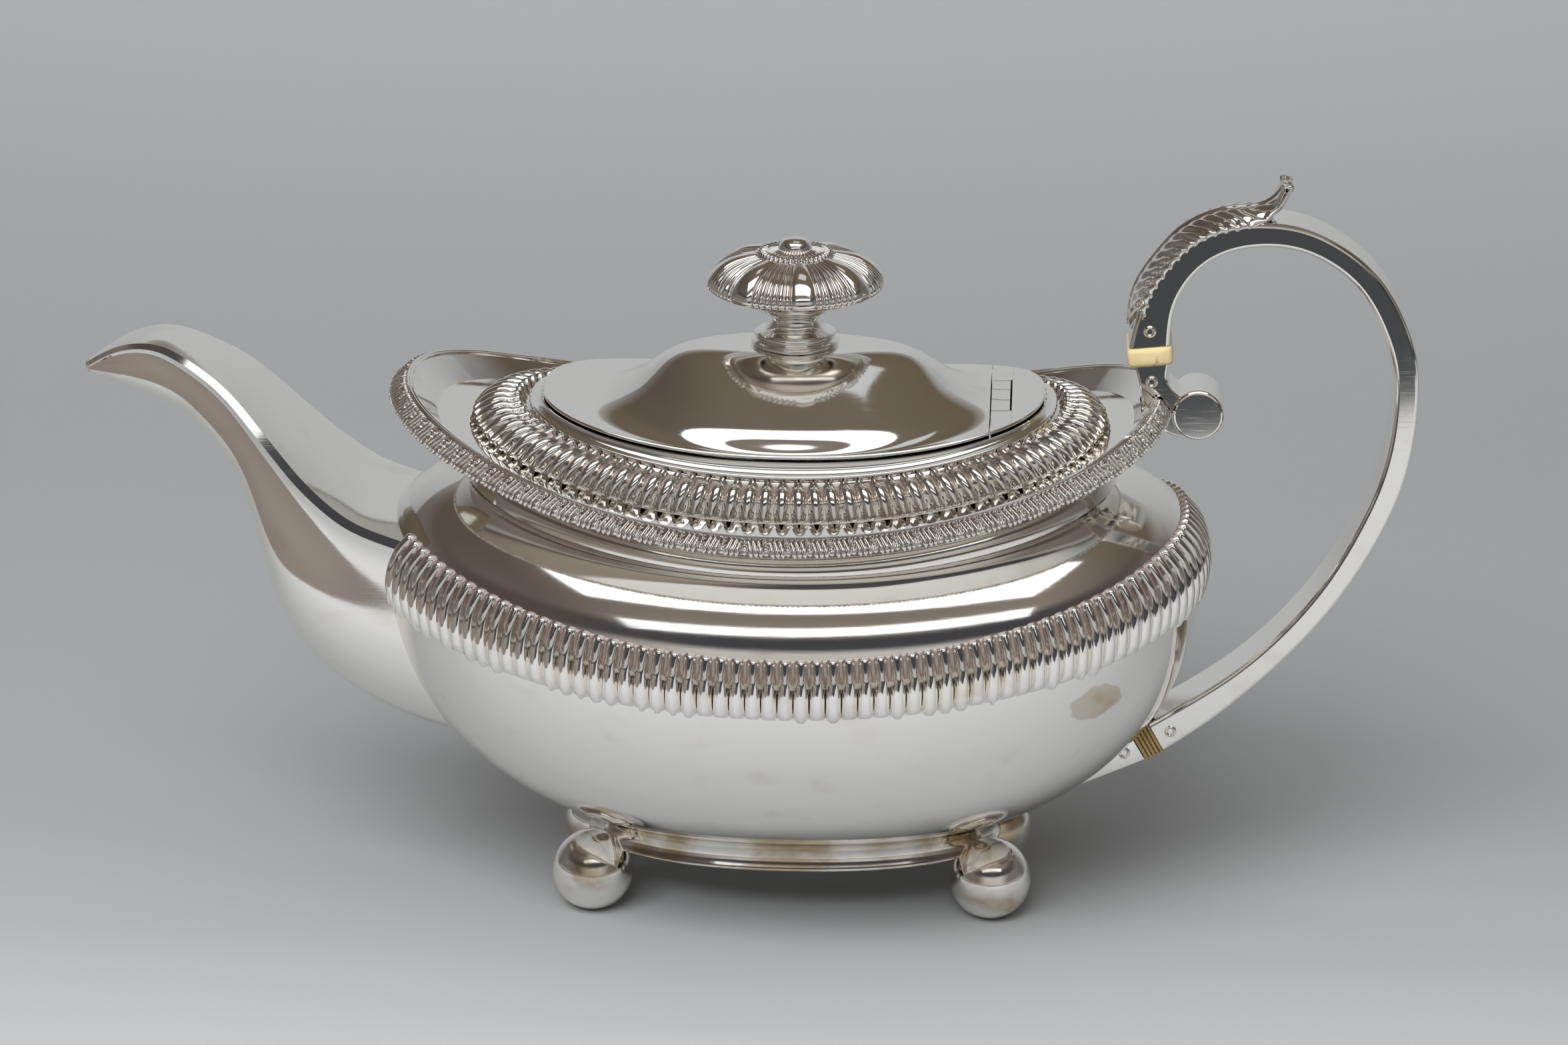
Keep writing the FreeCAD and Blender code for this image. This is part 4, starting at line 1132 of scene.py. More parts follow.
@dataclass
class Bowl:
    """Raised body: plain bowl, lobed belly band, and shoulder that flares to the rim."""

    wall: float = 1.2
    band_low: tuple[float, float] = (62.3, 74.3)
    band_high: tuple[float, float] = (75.7, 91.6)
    band_lobes: int = 130
    band_height: float = 2.0
    band_gap: float = 23.0
    band_lift: float = 0.12
    floor_share: float = 0.1

    def build(self) -> None:
        """Make bowl, band and shoulder."""
        floor = POT.bowl(0.0)
        centre = Ring(0.0, 0.0, floor.side_z, floor.side_z)

        def bowl(u: float, v: float) -> Vector:
            """Point of the bowl, flat under the foot.

            Args:
                u: turn.
                v: share from the middle of the floor to the belly.

            Returns:
                The point, in millimetres.
            """
            if v < self.floor_share:
                return centre.toward(floor, v / self.floor_share).at(u)
            return POT.bowl((v - self.floor_share) / (1.0 - self.floor_share)).at(u)

        def shoulder(u: float, v: float) -> Vector:
            """Point of shoulder and flare."""
            return POT.skin(1.0 + 2.0 * v).at(u)

        Form().sheet(ROUND_FACES, 80, bowl).weld().piece("lower_bowl", wall=self.wall, name="bowl_skin")
        Form().sheet(ROUND_FACES, 64, shoulder).weld().piece("shoulder", wall=self.wall)
        self.band().form(11, 20).piece("lobed_band", CHASED, sharp=70.0)

    def band(self) -> Relief:
        """Lay the lobes along the belly.

        Returns:
            The band.
        """
        turn = strip_turns(POT.belly, self.band_gap, False)
        side = [POT.share_at(z, False) for z in (self.band_low[0], self.band_high[0])]
        end = [POT.share_at(z, True) for z in (self.band_low[1], self.band_high[1])]

        def surface(along: float, across: float) -> Vector:
            """Point of the skin under the band.

            Args:
                along: share along the band.
                across: share across it.

            Returns:
                The point, in millimetres.
            """
            at = turn(along)
            lift = (POT.belly.at(at).x / POT.belly.length) ** 2
            share_side = side[0] + (side[1] - side[0]) * across
            share_end = end[0] + (end[1] - end[0]) * across
            return POT.skin(share_side + (share_end - share_side) * lift).moved(self.band_lift, 0.0).at(at)

        return BellyLobes(surface, self.band_lobes, self.band_height)


@dataclass
class Cover:
    """Plate between rim and mouth with its channel, fluted collar and gadroon border."""

    edge: Ring = Ring(83.5, 52.3, 100.7, 119.6)
    channel: Ring = Ring(77.5, 49.6, 96.7, 113.0)
    flute_low: Ring = Ring(69.0, 41.9, 100.0, 110.2)
    flute_high: Ring = Ring(58.8, 36.3, 106.4, 114.0)
    mouth: Ring = Ring(41.0, 26.5, 110.6, 113.7)
    flute_bulge: float = 1.5
    flute_count: int = 98
    flute_height: float = 1.7
    flute_lift: float = 0.35
    border_units: int = 98
    border_height: float = 0.8
    border_gap: float = 7.4
    gate: tuple[float, float, float] = (74.8, 6.0, 112.0)
    trough: tuple[float, float, float, float] = (44.6, 3.7, 11.4, 110.1)
    wall: float = 1.0

    def build(self) -> None:
        """Make plate, collar and border."""
        low, high = self.flute_low, self.flute_high
        middle = low.toward(high, 0.5).moved(0.7 * self.flute_bulge, 0.7 * self.flute_bulge)
        ledge = Ring(57.5, 35.2, 106.9, 114.5, 2.35)
        round_top = Ring(56.2, 34.4, 108.4, 115.2, 2.45)
        wall_top = Ring(54.6, 33.1, 110.7, 116.2, 2.5)
        seat = Ring(52.5, 31.5, 110.8, 115.9, 2.4)
        profile = Profile(
            ([self.edge, self.edge.toward(self.channel, 0.6).moved(-0.3, -0.2), self.channel], 10),
            ([self.channel, self.channel.toward(low, 0.5).moved(0.0, -0.1), low], 14),
            ([low, middle, high], 10),
            ([high, high.toward(ledge, 0.5), ledge], 4),
            ([ledge, ledge.toward(round_top, 0.5).moved(0.35, 0.25), round_top], 8),
            ([round_top, round_top.toward(wall_top, 0.5).moved(-0.35, -0.1), wall_top], 6),
            ([wall_top, seat, self.mouth], 20))
        gate_x, gate_y, gate_z = self.gate
        hinge_x, hinge_reach, hinge_y, hinge_z = self.trough

        def plate(u: float, v: float) -> Vector:
            """Point of the plate, let down under the upper socket and under the hinge.

            Args:
                u: turn.
                v: share from the rim to the mouth.

            Returns:
                The point, in millimetres.
            """
            point = profile.at(v).at(u)
            if point.x > gate_x and abs(point.y) < gate_y:
                point.z = min(point.z, gate_z)
            if abs(point.x - hinge_x) < hinge_reach and abs(point.y) < hinge_y:
                point.z = min(point.z, hinge_z)
            return point

        form = Form().sheet(ROUND_FACES, profile.rows(), plate).weld()
        form.piece("cover_plate", wall=self.wall, sharp=30.0)
        slope = [ring.moved(self.flute_lift, self.flute_lift) for ring in (low, middle, high)]
        bare = self.strip(slope, low.toward(high, 0.4).even())
        flutes = CollarFlutes(bare, self.flute_count, self.flute_height)
        flutes.form(12, 20).weld().piece("fluted_collar", CHASED, sharp=70.0)
        along_rim = strip_turns(POT.rim, self.border_gap, True)
        bare = self.strip(self.border_rings(), along_rim)
        border = RimGadroons(bare, self.border_units, self.border_height)
        border.form(22, 14).piece("gadroon_border", GADROON, sharp=75.0)
        self.wire(along_rim)

    @staticmethod
    def strip(rings: Sequence[Ring], turn: Callable[[float], float]) -> Surface:
        """Surface through some rings, from its place along them and across them."""
        rise = Spline([ring.row() for ring in rings])
        return lambda u, v: Ring(*rise.at(v)).at(turn(u))

    def border_rings(self) -> list[Ring]:
        """Rings across the bare border, up its outer slope from below the rim to the plate.

        Returns:
            The rings, from below.
        """
        rim, edge = POT.rim, self.edge
        return [rim.moved(-0.3, 0.0), rim.moved(0.1, 0.3), rim.toward(edge, 0.36).moved(0.25, 0.25),
                rim.toward(edge, 0.7).moved(0.2, 0.15), edge.moved(0.35, -0.35)]

    def wire(self, turn: Callable[[float], float]) -> None:
        """Make the double wire along the inner edge of the border.

        Args:
            turn: spacing along the border.
        """
        form = Form()
        for out, up, radius in ((0.15, -0.05, 0.34), (-0.55, -0.3, 0.30)):
            core = self.edge.moved(out, up)

            def tube(u: float, v: float, core: Ring = core, radius: float = radius) -> Vector:
                """Point of the wire."""
                angle = -FULL_TURN * v
                return core.moved(radius * math.cos(angle), radius * math.sin(angle)).at(turn(u))

            form.sheet(360, 8, tube)
        form.weld().outward().piece("", CHASED, name="border_wire")


@dataclass
class Lid:
    """Hinged lid, the fixed end of its flange and the knuckles between them."""

    half_length: float = 54.5
    half_width: float = 33.0
    edge_z: float = 111.9
    rise: float = 5.5
    sheet: float = 0.75
    hinge_x: float = 44.6
    hinge_z: float = 113.583
    knuckle_width: float = 4.4
    knuckle_length: float = 7.2
    seam: float = 0.14
    barrel: float = 1.95
    beyond: float = 99.0
    crisp: float = 32.0
    dome_rows: tuple[tuple[float, ...], ...] = (
        (46.4, 31.8, 0.1, 2.4), (41.6, 31.0, 1.2, 2.3), (38.0, 29.6, 3.2, 2.2, 0.9),
        (34.8, 26.6, 5.4, 2.2, 0.8), (31.4, 21.6, 8.5, 2.2, 0.65), (28.2, 16.8, 11.3, 2.15, 0.5),
        (24.2, 12.6, 13.4, 2.1, 0.4), (8.6, 8.6, 15.1, 2.0, 0.0),
    )

    def build(self) -> None:
        """Make lid, fixed plate and knuckles."""
        near_x = self.hinge_x - self.knuckle_width / 2.0
        far_x = self.hinge_x + self.knuckle_width / 2.0
        far, seam = self.beyond, self.seam
        self.patch(-far, near_x - seam, -far, far).piece("lid", body=Body.LID, sharp=self.crisp)
        zone = 1.5 * self.knuckle_length
        plate = self.patch(far_x + seam, far, -far, far)
        for low, high in ((-far, -zone - seam), (zone + seam, far)):
            plate.join(self.patch(near_x + seam, far_x + 2.0 * seam, low, high))
        plate.piece("hinge_plate", sharp=self.crisp)
        for name, side, body in (("near", -1.0, Body.POT), ("middle", 0.0, Body.LID), ("far", 1.0, Body.POT)):
            knuckle = self.knuckle(side * self.knuckle_length, near_x, far_x)
            knuckle.piece("", body=body, sharp=self.crisp, name="knuckle_" + name)

    def knuckle(self, middle: float, near_x: float, far_x: float) -> Form:
        """Make a barrel that is filed flush with the flange.

        Args:
            middle: place of its middle along Y.
            near_x: its edge towards the spout.
            far_x: its edge towards the handle.

        Returns:
            The barrel.
        """
        half = self.knuckle_length / 2.0 - self.seam
        form = self.patch(near_x + self.seam, far_x - 2.0 * self.seam, middle - half, middle + half)
        return form.join(Form().rod(self.barrel, 2.0 * half, Vector((self.hinge_x, middle, self.hinge_z))))

    def patch(self, low_x: float, high_x: float, low_y: float, high_y: float) -> Form:
        """Make the part of the lid blank between two lines across and two lines along.

        Args:
            low_x: line towards the spout.
            high_x: line towards the handle.
            low_y: line on the near side.
            high_y: line on the far side.

        Returns:
            The closed part.
        """
        form = self.blank()
        for place, normal in (((low_x, 0.0, 0.0), (-1.0, 0.0, 0.0)), ((high_x, 0.0, 0.0), (1.0, 0.0, 0.0)),
                              ((0.0, low_y, 0.0), (0.0, -1.0, 0.0)), ((0.0, high_y, 0.0), (0.0, 1.0, 0.0))):
            if max(abs(number) for number in place) < self.beyond:
                form.cut(Vector(place), Vector(normal), True)
        return form

    def ring(self, length: float, width: float, up: float, square: float = 2.2, fade: float = 1.0) -> Ring:
        """Ring of the lid that follows the sag of its flange."""
        side = self.edge_z + up
        return Ring(length, width, side, side + fade * self.rise * (length / self.half_length) ** 2, square)

    def blank(self) -> Form:
        """Make the whole lid before it is cut at the hinge line.

        Returns:
            The closed sheet.
        """
        top = [self.ring(self.half_length - 0.3, self.half_width - 0.3, 0.0, 2.5)]
        top += [self.ring(*row) for row in self.dome_rows]
        under = [ring.moved(-0.35, -self.sheet) for ring in top[:-1]] + [top[-1].moved(0.0, -self.sheet)]
        edge = self.ring(self.half_length, self.half_width, 0.0, 2.5)
        profile = Profile(
            ([under[0], edge.moved(-0.05, -0.6), edge.moved(0.0, -0.35), top[0]], 8),
            (top, 64),
            ([top[-1], under[-1]], 1),
            (list(reversed(under)), 30))
        return Form().lathe(profile, 400)


@dataclass
class Finial:
    """Turned stem, rayed mushroom cap and button on the lid."""

    base_z: float = 127.0
    cap_z: float = 137.1
    cap_height: float = 10.2
    sectors: int = 8
    petal: float = 0.40
    flutes: int = 6
    relief: float = 0.75
    brim: float = 0.3
    petals_end: float = 0.62
    beads_end: float = 0.74
    beads: float = 5.0
    stem: tuple[tuple[float, float], ...] = (
        (1.9, 0.0), (9.3, 0.0), (9.5, 0.25), (9.5, 0.8), (9.2, 1.1), (8.6, 1.25), (8.4, 1.5), (8.75, 1.9),
        (8.9, 2.35), (8.7, 2.8), (8.0, 3.1), (6.9, 3.4), (5.9, 4.1), (5.35, 5.0), (5.1, 6.0), (5.3, 6.7),
        (6.1, 7.1), (6.7, 7.25), (7.0, 7.6), (6.7, 8.0), (6.2, 8.15), (6.1, 8.5), (6.6, 9.0), (7.6, 9.6),
        (7.8, 10.1), (1.9, 10.1),
    )
    button: tuple[tuple[float, float], ...] = (
        (0.0, -0.2), (4.5, -0.2), (4.6, 0.15), (4.3, 0.45), (3.8, 0.5), (3.65, 0.9), (3.5, 1.5), (3.1, 2.2),
        (2.4, 2.75), (1.4, 3.05), (0.0, 3.15),
    )

    def build(self) -> None:
        """Make stem, cap and button."""
        self.turned(self.stem, self.base_z, 72).piece("finial_stem", CHASED, Body.LID, sharp=50.0)
        self.cap().piece("finial_cap", CHASED, Body.LID, sharp=60.0)
        button = self.turned(self.button, self.cap_z + self.cap_height, 56)
        button.piece("finial_button", CHASED, Body.LID, sharp=50.0)

    @staticmethod
    def turned(outline: Sequence[tuple[float, float]], foot: float, steps: int) -> Form:
        """Turned form with its outline lifted to a foot."""
        return Form().spin([(r, foot + z) for r, z in outline], steps)

    def ornament(self, turn: float, up: float) -> tuple[float, float]:
        """Height and recess of the cap's ornament.

        Args:
            turn: share of the full turn.
            up: 0 at the edge of the cap, 1 at its crown.

        Returns:
            Height in millimetres, and recess from 0 to 1.
        """
        place = (turn * self.sectors) % 1.0
        if up < self.petals_end:
            fade = ease(0.0, 0.10, up + 0.06) * (1.0 - 0.35 * ease(0.35, self.petals_end, up))
            if place < self.petal:
                side = abs(place / self.petal - 0.5) * 2.0
                return self.relief * 1.45 * fade * dome(side, 2.4), 0.7 * ease(0.9, 1.0, side)
            side = abs((place - self.petal) / (1.0 - self.petal) * self.flutes % 1.0 - 0.5) * 2.0
            return self.relief * fade * dome(min(side / 0.92, 1.0), 2.0), ease(0.72, 0.95, side)
        side = abs(place * self.beads % 1.0 - 0.5) * 2.0
        if up < self.beads_end:
            step = ease(self.petals_end, 0.65, up)
            bead = dome(min(math.hypot(side, (up - 0.68) / 0.06), 1.0))
            return 0.35 * step + 0.75 * bead, 0.8 * (1.0 - ease(0.05, 0.4, bead))
        shell = 0.45 + 0.55 * dome(side, 2.0) * (1.0 - 0.5 * ease(0.85, 1.0, up))
        return shell * (1.0 - 0.4 * ease(0.9, 1.0, up)), ease(0.7, 0.98, side)

    def cap(self) -> Form:
        """Make the cap.

        Returns:
            The closed cap.
        """
        under = Spline([(0.0, 0.0), (7.6, 0.0), (11.0, 0.25), (14.6, 0.95), (17.3, 1.9), (18.2, 2.6)])
        over = Spline([(18.2, 2.6), (18.25, 3.5), (17.4, 5.2), (15.2, 7.2), (11.6, 8.75), (8.0, 9.6),
                       (3.9, 10.15), (0.0, self.cap_height)])
        brim = self.brim

        def place(u: float, v: float) -> Vector:
            """Point of the cap with its ornament.

            Args:
                u: turn.
                v: share from the middle of the underside to the crown.

            Returns:
                The point, in millimetres.
            """
            if v < brim:
                return self.spot(u, *under.at(v / brim))
            up = (v - brim) / (1.0 - brim)
            r, z = over.at(up)
            out = over.heading(up)
            height = self.ornament(u, up)[0]
            return self.spot(u, r + height * out.z, z - height * out.x)

        def recess(u: float, v: float) -> float:
            """Recess of the cap's ornament."""
            return self.ornament(u, (v - brim) / (1.0 - brim))[1] if v > 1.1 * brim else 0.0

        return Form().sheet(self.sectors * 64, 72, place, recess).weld().outward()

    def spot(self, turn: float, radius: float, height: float) -> Vector:
        """Point at a turn, radius and height over the cap's foot."""
        angle = FULL_TURN * turn
        return Vector((radius * math.cos(angle), radius * math.sin(angle), self.cap_z + height))


@dataclass
class Spout:
    """Beaked spout: a crowned panel with crisp edges over a deep rounded keel."""

    stations: tuple[tuple[float, ...], ...] = (
        (-78.0, 85.0, 23.0, -73.0, 38.0),
        (-92.2, 89.8, 22.6, -88.5, 43.6),
        (-99.5, 94.3, 21.8, -102.0, 52.4),
        (-105.3, 99.4, 20.4, -110.0, 62.0),
        (-110.4, 104.8, 18.4, -114.0, 72.3),
        (-115.5, 110.5, 16.2, -116.3, 83.8),
        (-121.3, 116.5, 13.4, -120.2, 95.3),
        (-127.2, 120.8, 10.9, -125.9, 103.5),
        (-133.7, 124.2, 8.6, -131.7, 109.4),
        (-139.0, 125.4, 6.9, -138.9, 113.4),
        (-146.0, 124.0, 4.3, -146.7, 116.3),
        (-153.9, 119.3, 0.5, -153.6, 118.6),
    )
    crown: float = 0.07
    panel_share: float = 0.24
    mouth_x: float = -143.6
    mouth_rise: float = 0.25
    mouth_side: float = 0.45
    wall: float = 1.1
    root: float = 0.012

    def build(self) -> None:
        """Make the spout with its open beak."""
        self.line = Spline(self.stations)
        self.flank = Spline([(1.0, 0.0), (0.945, 0.07), (0.925, 0.2), (0.94, 0.36), (0.945, 0.5),
                             (0.88, 0.68), (0.68, 0.85), (0.36, 0.965), (0.0, 1.0)])
        starts: dict[float, float] = {}

        def place(u: float, v: float) -> Vector:
            """Point of the spout, from its seam on the bowl to the tip.

            Args:
                u: share round the section.
                v: share from the seam to the tip.

            Returns:
                The point, in millimetres.
            """
            key = round(u, 5)
            if key not in starts:
                starts[key] = self.seam(u)
            return self.point(u, starts[key] + (1.0 - starts[key]) * v)

        form = Form().sheet(112, 120, place).weld()
        panel = [f for f in form.bm.faces if f.calc_center_median().x < self.mouth_x
                 and f.normal.z > self.mouth_rise and abs(f.normal.y) < self.mouth_side]
        bmesh.ops.delete(form.bm, geom=panel, context="FACES")
        form.piece("spout", wall=self.wall, sharp=38.0)

    def point(self, u: float, v: float) -> Vector:
        """Point of the bare spout.

        Args:
            u: share round the section, from the middle of the panel.
            v: share from the root to the tip.

        Returns:
            The point, in millimetres.
        """
        x, z, half, keel_x, keel_z = self.line.at(v)
        edge, keel = Vector((x, 0.0, z)), Vector((keel_x, 0.0, keel_z))
        down = keel - edge
        side = -1.0 if u < 0.5 else 1.0
        share = 2.0 * min(u, 1.0 - u)
        if share < self.panel_share:
            out = share / self.panel_share
            return edge + Vector((0.0, side * half * out, 0.0)) - down.normalized() * (
                self.crown * half * (1.0 - out * out))
        out, fall = self.flank.at((share - self.panel_share) / (1.0 - self.panel_share))
        return edge + Vector((0.0, side * half * out, 0.0)) + down * fall

    def seam(self, u: float) -> float:
        """Share along the spout at which it starts, just inside the bowl."""
        inside = last_below(0.0, 0.6, 22, lambda v: POT.holds(self.point(u, v)))
        return max(inside - self.root, 0.0)


@dataclass
class Handle:
    """Loop handle with its leaf, sockets, insulators and pins."""

    stations: tuple[tuple[float, ...], ...] = (
        (76.0, 129.4, 8.8), (77.6, 138.3, 7.2), (81.2, 145.4, 6.4), (86.4, 150.5, 5.9), (92.7, 153.4, 5.6),
        (99.6, 154.3, 5.2), (106.2, 153.7, 5.0), (113.8, 150.7, 4.8), (122.0, 144.1, 4.9),
        (127.4, 135.3, 5.1), (130.5, 126.0, 5.1), (131.1, 117.0, 5.0), (128.1, 97.8, 5.2),
        (124.4, 88.5, 5.2), (117.5, 75.7, 5.0), (107.0, 62.1, 5.0), (97.7, 53.0, 5.5), (88.2, 45.5, 6.6),
        (79.9, 39.8, 7.2),
    )
    half_width: float = 7.0
    corner: float = 0.9
    lower_deg: float = 29.0
    insulator: float = 4.6
    pin_inset: float = 3.4
    upper_lean: float = 6.0
    volute: tuple[float, float, float] = (86.8, 114.2, 5.5)
    volute_width: float = 14.4
    post_half_width: float = 6.3
    socket_width: float = 13.2
    pale_width: float = 14.8
    brown_half_width: float = 6.8
    toe_z: float = 28.3
    heel_z: float = 36.0
    ribs: float = 5.0
    rib_height: float = 0.35
    leaf_lobes: float = 21.0
    leaf_skew: float = 2.7
    leaf_half_width: float = 7.6

    def build(self) -> None:
        """Make every piece of the handle."""
        self.line = Spline(self.stations)
        self.bar(self.frame_at, self.corner, 180).piece("handle", sharp=10.0)
        self.leaf()
        self.insulators()
        self.sockets()
        self.pins()

    def frame_at(self, share: float) -> Section:
        """Middle, outward direction, depth and half width of the strap at a share of the loop.

        Args:
            share: share of the loop, from its upper end.

        Returns:
            Middle, outward direction, depth and half width.
        """
        x, z, depth = self.line.at(share)
        heading = self.line.heading(share)
        upper = math.radians(self.upper_lean)
        upright = Vector((-math.sin(upper), 0.0, math.cos(upper)))
        lower = math.radians(self.lower_deg)
        last = Vector((-math.cos(lower), 0.0, -math.sin(lower)))
        heading = heading.lerp(upright, 1.0 - ease(0.0, 0.05, share)).lerp(last, ease(0.95, 1.0, share))
        return Vector((x, 0.0, z)), Vector((-heading.z, 0.0, heading.x)).normalized(), depth, self.half_width

    @staticmethod
    def bar(run: Callable[[float], Section], corner: float, rows: int, recess: Depth | None = None) -> Form:
        """Make a bar of squared section with eased corners.

        Args:
            run: middle, outward direction, depth and half width at a share of the bar.
            corner: radius of the corners.
            rows: faces along the bar.
            recess: how deep in a recess its surface is, 0 to 1.

        Returns:
            The closed bar.
        """
        section = []
        for sy, sn, start in ((1, 1, 0.0), (-1, 1, 90.0), (-1, -1, 180.0), (1, -1, 270.0)):
            for k in range(5):
                angle = math.radians(start + 22.5 * k)
                section.append((sy, sn, math.cos(angle), math.sin(angle)))
        count = len(section)

        def place(u: float, v: float) -> Vector:
            """Point of the bar.

            Args:
                u: share round the section.
                v: share along the bar.

            Returns:
                The point, in millimetres.
            """
            middle, out, depth, half = run(v)
            sy, sn, c, s = section[round(u * count) % count]
            return middle + Vector((0.0, sy * (half - corner) + corner * c, 0.0)) + out * (
                sn * (depth / 2.0 - corner) + corner * s)

        form = Form().sheet(count, rows, place, recess).weld()
        bmesh.ops.holes_fill(form.bm, edges=form.bm.edges, sides=0)
        return form.outward()

    def leaf(self) -> None:
        """Make the leaf on the crown of the handle and its thumb tip."""
        ridge = Spline([(71.2, 132.4), (71.7, 138.7), (73.6, 143.8), (76.0, 147.5), (79.2, 151.6),
                        (83.2, 155.2), (88.0, 157.7), (94.4, 159.2), (98.4, 159.7), (100.9, 161.0),
                        (102.5, 162.7), (103.7, 164.4), (104.4, 164.9), (104.9, 164.2), (104.7, 162.2),
                        (103.7, 160.0), (102.4, 157.8)])

        def shape(u: float, v: float) -> tuple[Vector, float]:
            """Point of the leaf and its recess.

            Args:
                u: share across the leaf.
                v: share along it.

            Returns:
                The point, in millimetres, and its recess from 0 to 1.
            """
            x, z = ridge.at(v)
            heading = ridge.heading(v)
            out = Vector((-heading.z, 0.0, heading.x))
            across = 2.0 * u - 1.0
            off = abs(across)
            plain = ease(0.72, 0.80, v)
            phase = (self.leaf_lobes * v - self.leaf_skew * off) % 1.0
            lobe = ease(0.0, 0.7, phase) - ease(0.80, 1.0, phase)
            wide = self.leaf_half_width * (0.84 + 0.16 * ease(0.0, 0.10, v))
            wide *= 1.0 - 0.46 * ease(0.66, 0.86, v)
            wide *= 0.98 + 0.02 * lobe * (1.0 - plain)
            rib = 0.5 * math.exp(-(across / 0.09) ** 2)
            fine = 0.5 + 0.5 * math.cos(6.0 * math.pi * off)
            bead = dome(min(math.hypot((phase - 0.45) / 0.40, (off - 0.91) / 0.09), 1.0))
            relief = (0.36 * lobe * ease(0.08, 0.3, off) + 0.10 * fine + 0.24 * bead) * (1.0 - plain)
            relief *= 1.0 - 0.8 * ease(0.93, 1.0, off)
            relief += rib + 0.45 * plain * ease(0.70, 0.95, off)
            drop = (1.3 + 1.5 * (1.0 - ease(0.66, 0.86, v))) * across ** 2
            groove = ease(0.86, 0.98, phase) * ease(0.1, 0.3, off) * (1.0 - plain)
            return Vector((x, wide * across, z)) + out * (relief - drop - 0.45), 0.8 * groove

        form = Form().sheet(40, 320, lambda u, v: shape(1.0 - u, v)[0], lambda u, v: shape(1.0 - u, v)[1])
        form.piece("leaf_thumbpiece", CHASED, wall=0.9, sharp=75.0, even=False, name="leaf_skin")

    def along_lower(self, distance: float, side: float) -> tuple[float, float]:
        """Point past the lower end of the strap, and out to one side of its line.

        Args:
            distance: way past the end.
            side: way out from the line.

        Returns:
            Place along X and along Z.
        """
        lower = math.radians(self.lower_deg)
        x, z, _ = self.stations[-1]
        return (x - math.cos(lower) * distance - math.sin(lower) * side,
                z - math.sin(lower) * distance + math.cos(lower) * side)

    def insulators(self) -> None:
        """Make the two bone insulators."""
        x, z, depth = self.stations[0]
        form = Form()
        bmesh.ops.create_cube(form.bm, size=1.0)
        form.scaled((depth + 1.0, self.pale_width, self.insulator - 0.1))
        form.turned(-math.radians(self.upper_lean), "Y")
        form.moved((x + 0.25, 0.0, z - self.insulator / 2.0)).ease_edges(form.bm.edges[:], 1.3, 5)
        form.piece("upper_insulator", PALE_BONE, sharp=50.0)
        lower = math.radians(self.lower_deg)

        def ridge(share: float) -> float:
            """Height of the ribs, 0 to 1."""
            return abs(math.sin(math.pi * self.ribs * share))

        def ribbed(share: float) -> Section:
            """Middle, outward direction, depth and half width of the lower insulator.

            Args:
                share: share along the insulator.

            Returns:
                Middle, outward direction, depth and half width.
            """
            at_x, at_z = self.along_lower(0.05 + (self.insulator - 0.1) * share, 0.0)
            swell = self.rib_height * ridge(share)
            return (Vector((at_x, 0.0, at_z)), Vector((-math.sin(lower), 0.0, math.cos(lower))),
                    self.stations[-1][2] + 2.0 * swell, self.brown_half_width + swell)

        form = self.bar(ribbed, 1.0, 50, lambda u, v: 0.8 * (1.0 - ease(0.1, 0.6, ridge(v))))
        form.piece("lower_insulator", BROWN_BONE, sharp=60.0)

    def sockets(self) -> None:
        """Make the upper casting with its volute and the lower strap on the bowl."""
        x, z, _ = self.stations[0]
        vx, vz, vr = self.volute
        top = z - self.insulator
        left = Spline([(x - 3.0, top - 0.3), (x - 2.2, top - 2.8), (x - 1.7, top - 5.2), (x - 0.8, top - 8.2),
                       (x + 1.2, top - 11.8), (x + 3.6, top - 14.4), (vx - 0.75 * vr, vz - 0.95 * vr)])
        right = Spline([(x + 4.2, top + 0.45), (x + 3.9, top - 1.8), (x + 4.1, top - 3.3),
                        (x + 5.2, top - 5.2), (x + 7.4, top - 7.1), (vx - 0.1 * vr, vz + 0.1 * vr)])

        def post(share: float) -> Section:
            """Middle, outward direction, depth and half width of the post, from its top to the volute."""
            low, high = [Vector((side[0], 0.0, side[1])) for side in (left.at(share), right.at(share))]
            return (low + high) / 2.0, (high - low).normalized(), (high - low).length, self.post_half_width

        self.bar(post, 0.5, 48).piece("upper_socket", sharp=10.0)
        volute = Form().rod(vr, self.volute_width, Vector((vx, 0.0, vz)), 64)
        volute.piece("", sharp=10.0, name="socket_volute")
        half = self.stations[-1][2] / 2.0
        toe = self.wall_x(self.toe_z)
        form = Form().prism([
            self.along_lower(self.insulator, -half), self.along_lower(self.insulator, half),
            (self.wall_x(self.heel_z) - 0.6, self.heel_z), (toe - 0.4, self.toe_z),
            (toe + 0.9, self.toe_z - 0.8)], self.socket_width)
        form.ease_edges(form.sharp_edges(40.0), 0.4)
        form.piece("lower_socket", sharp=35.0)

    def wall_x(self, height: float) -> float:
        """Reach of the pot's end at a height."""
        return POT.skin(POT.share_at(height, True)).length

    def pins(self) -> None:
        """Make the ring-headed pins through sockets and strap ends."""
        x, z, _ = self.stations[0]
        past = self.insulator + self.pin_inset
        places = {
            "upper_handle_pin": ((x, z + self.pin_inset), self.half_width),
            "upper_socket_pin": ((x + 0.7, z - past), self.post_half_width),
            "lower_handle_pin": (self.along_lower(-self.pin_inset, 0.0), self.half_width),
            "lower_socket_pin": (self.along_lower(past, 0.0), self.socket_width / 2.0),
        }
        head_line = [(1.35, -1.5), (1.35, 0.0), (1.25, 0.3), (0.95, 0.45), (0.65, 0.3), (0.55, 0.05),
                     (0.0, 0.05)]
        for name, ((px, pz), half) in places.items():
            form = Form()
            for side in (-1.0, 1.0):
                head = Form().spin(head_line, 32).turned(-side * QUARTER_TURN, "X")
                form.join(head.moved((px, side * half, pz)))
            form.outward().piece(name, sharp=50.0)


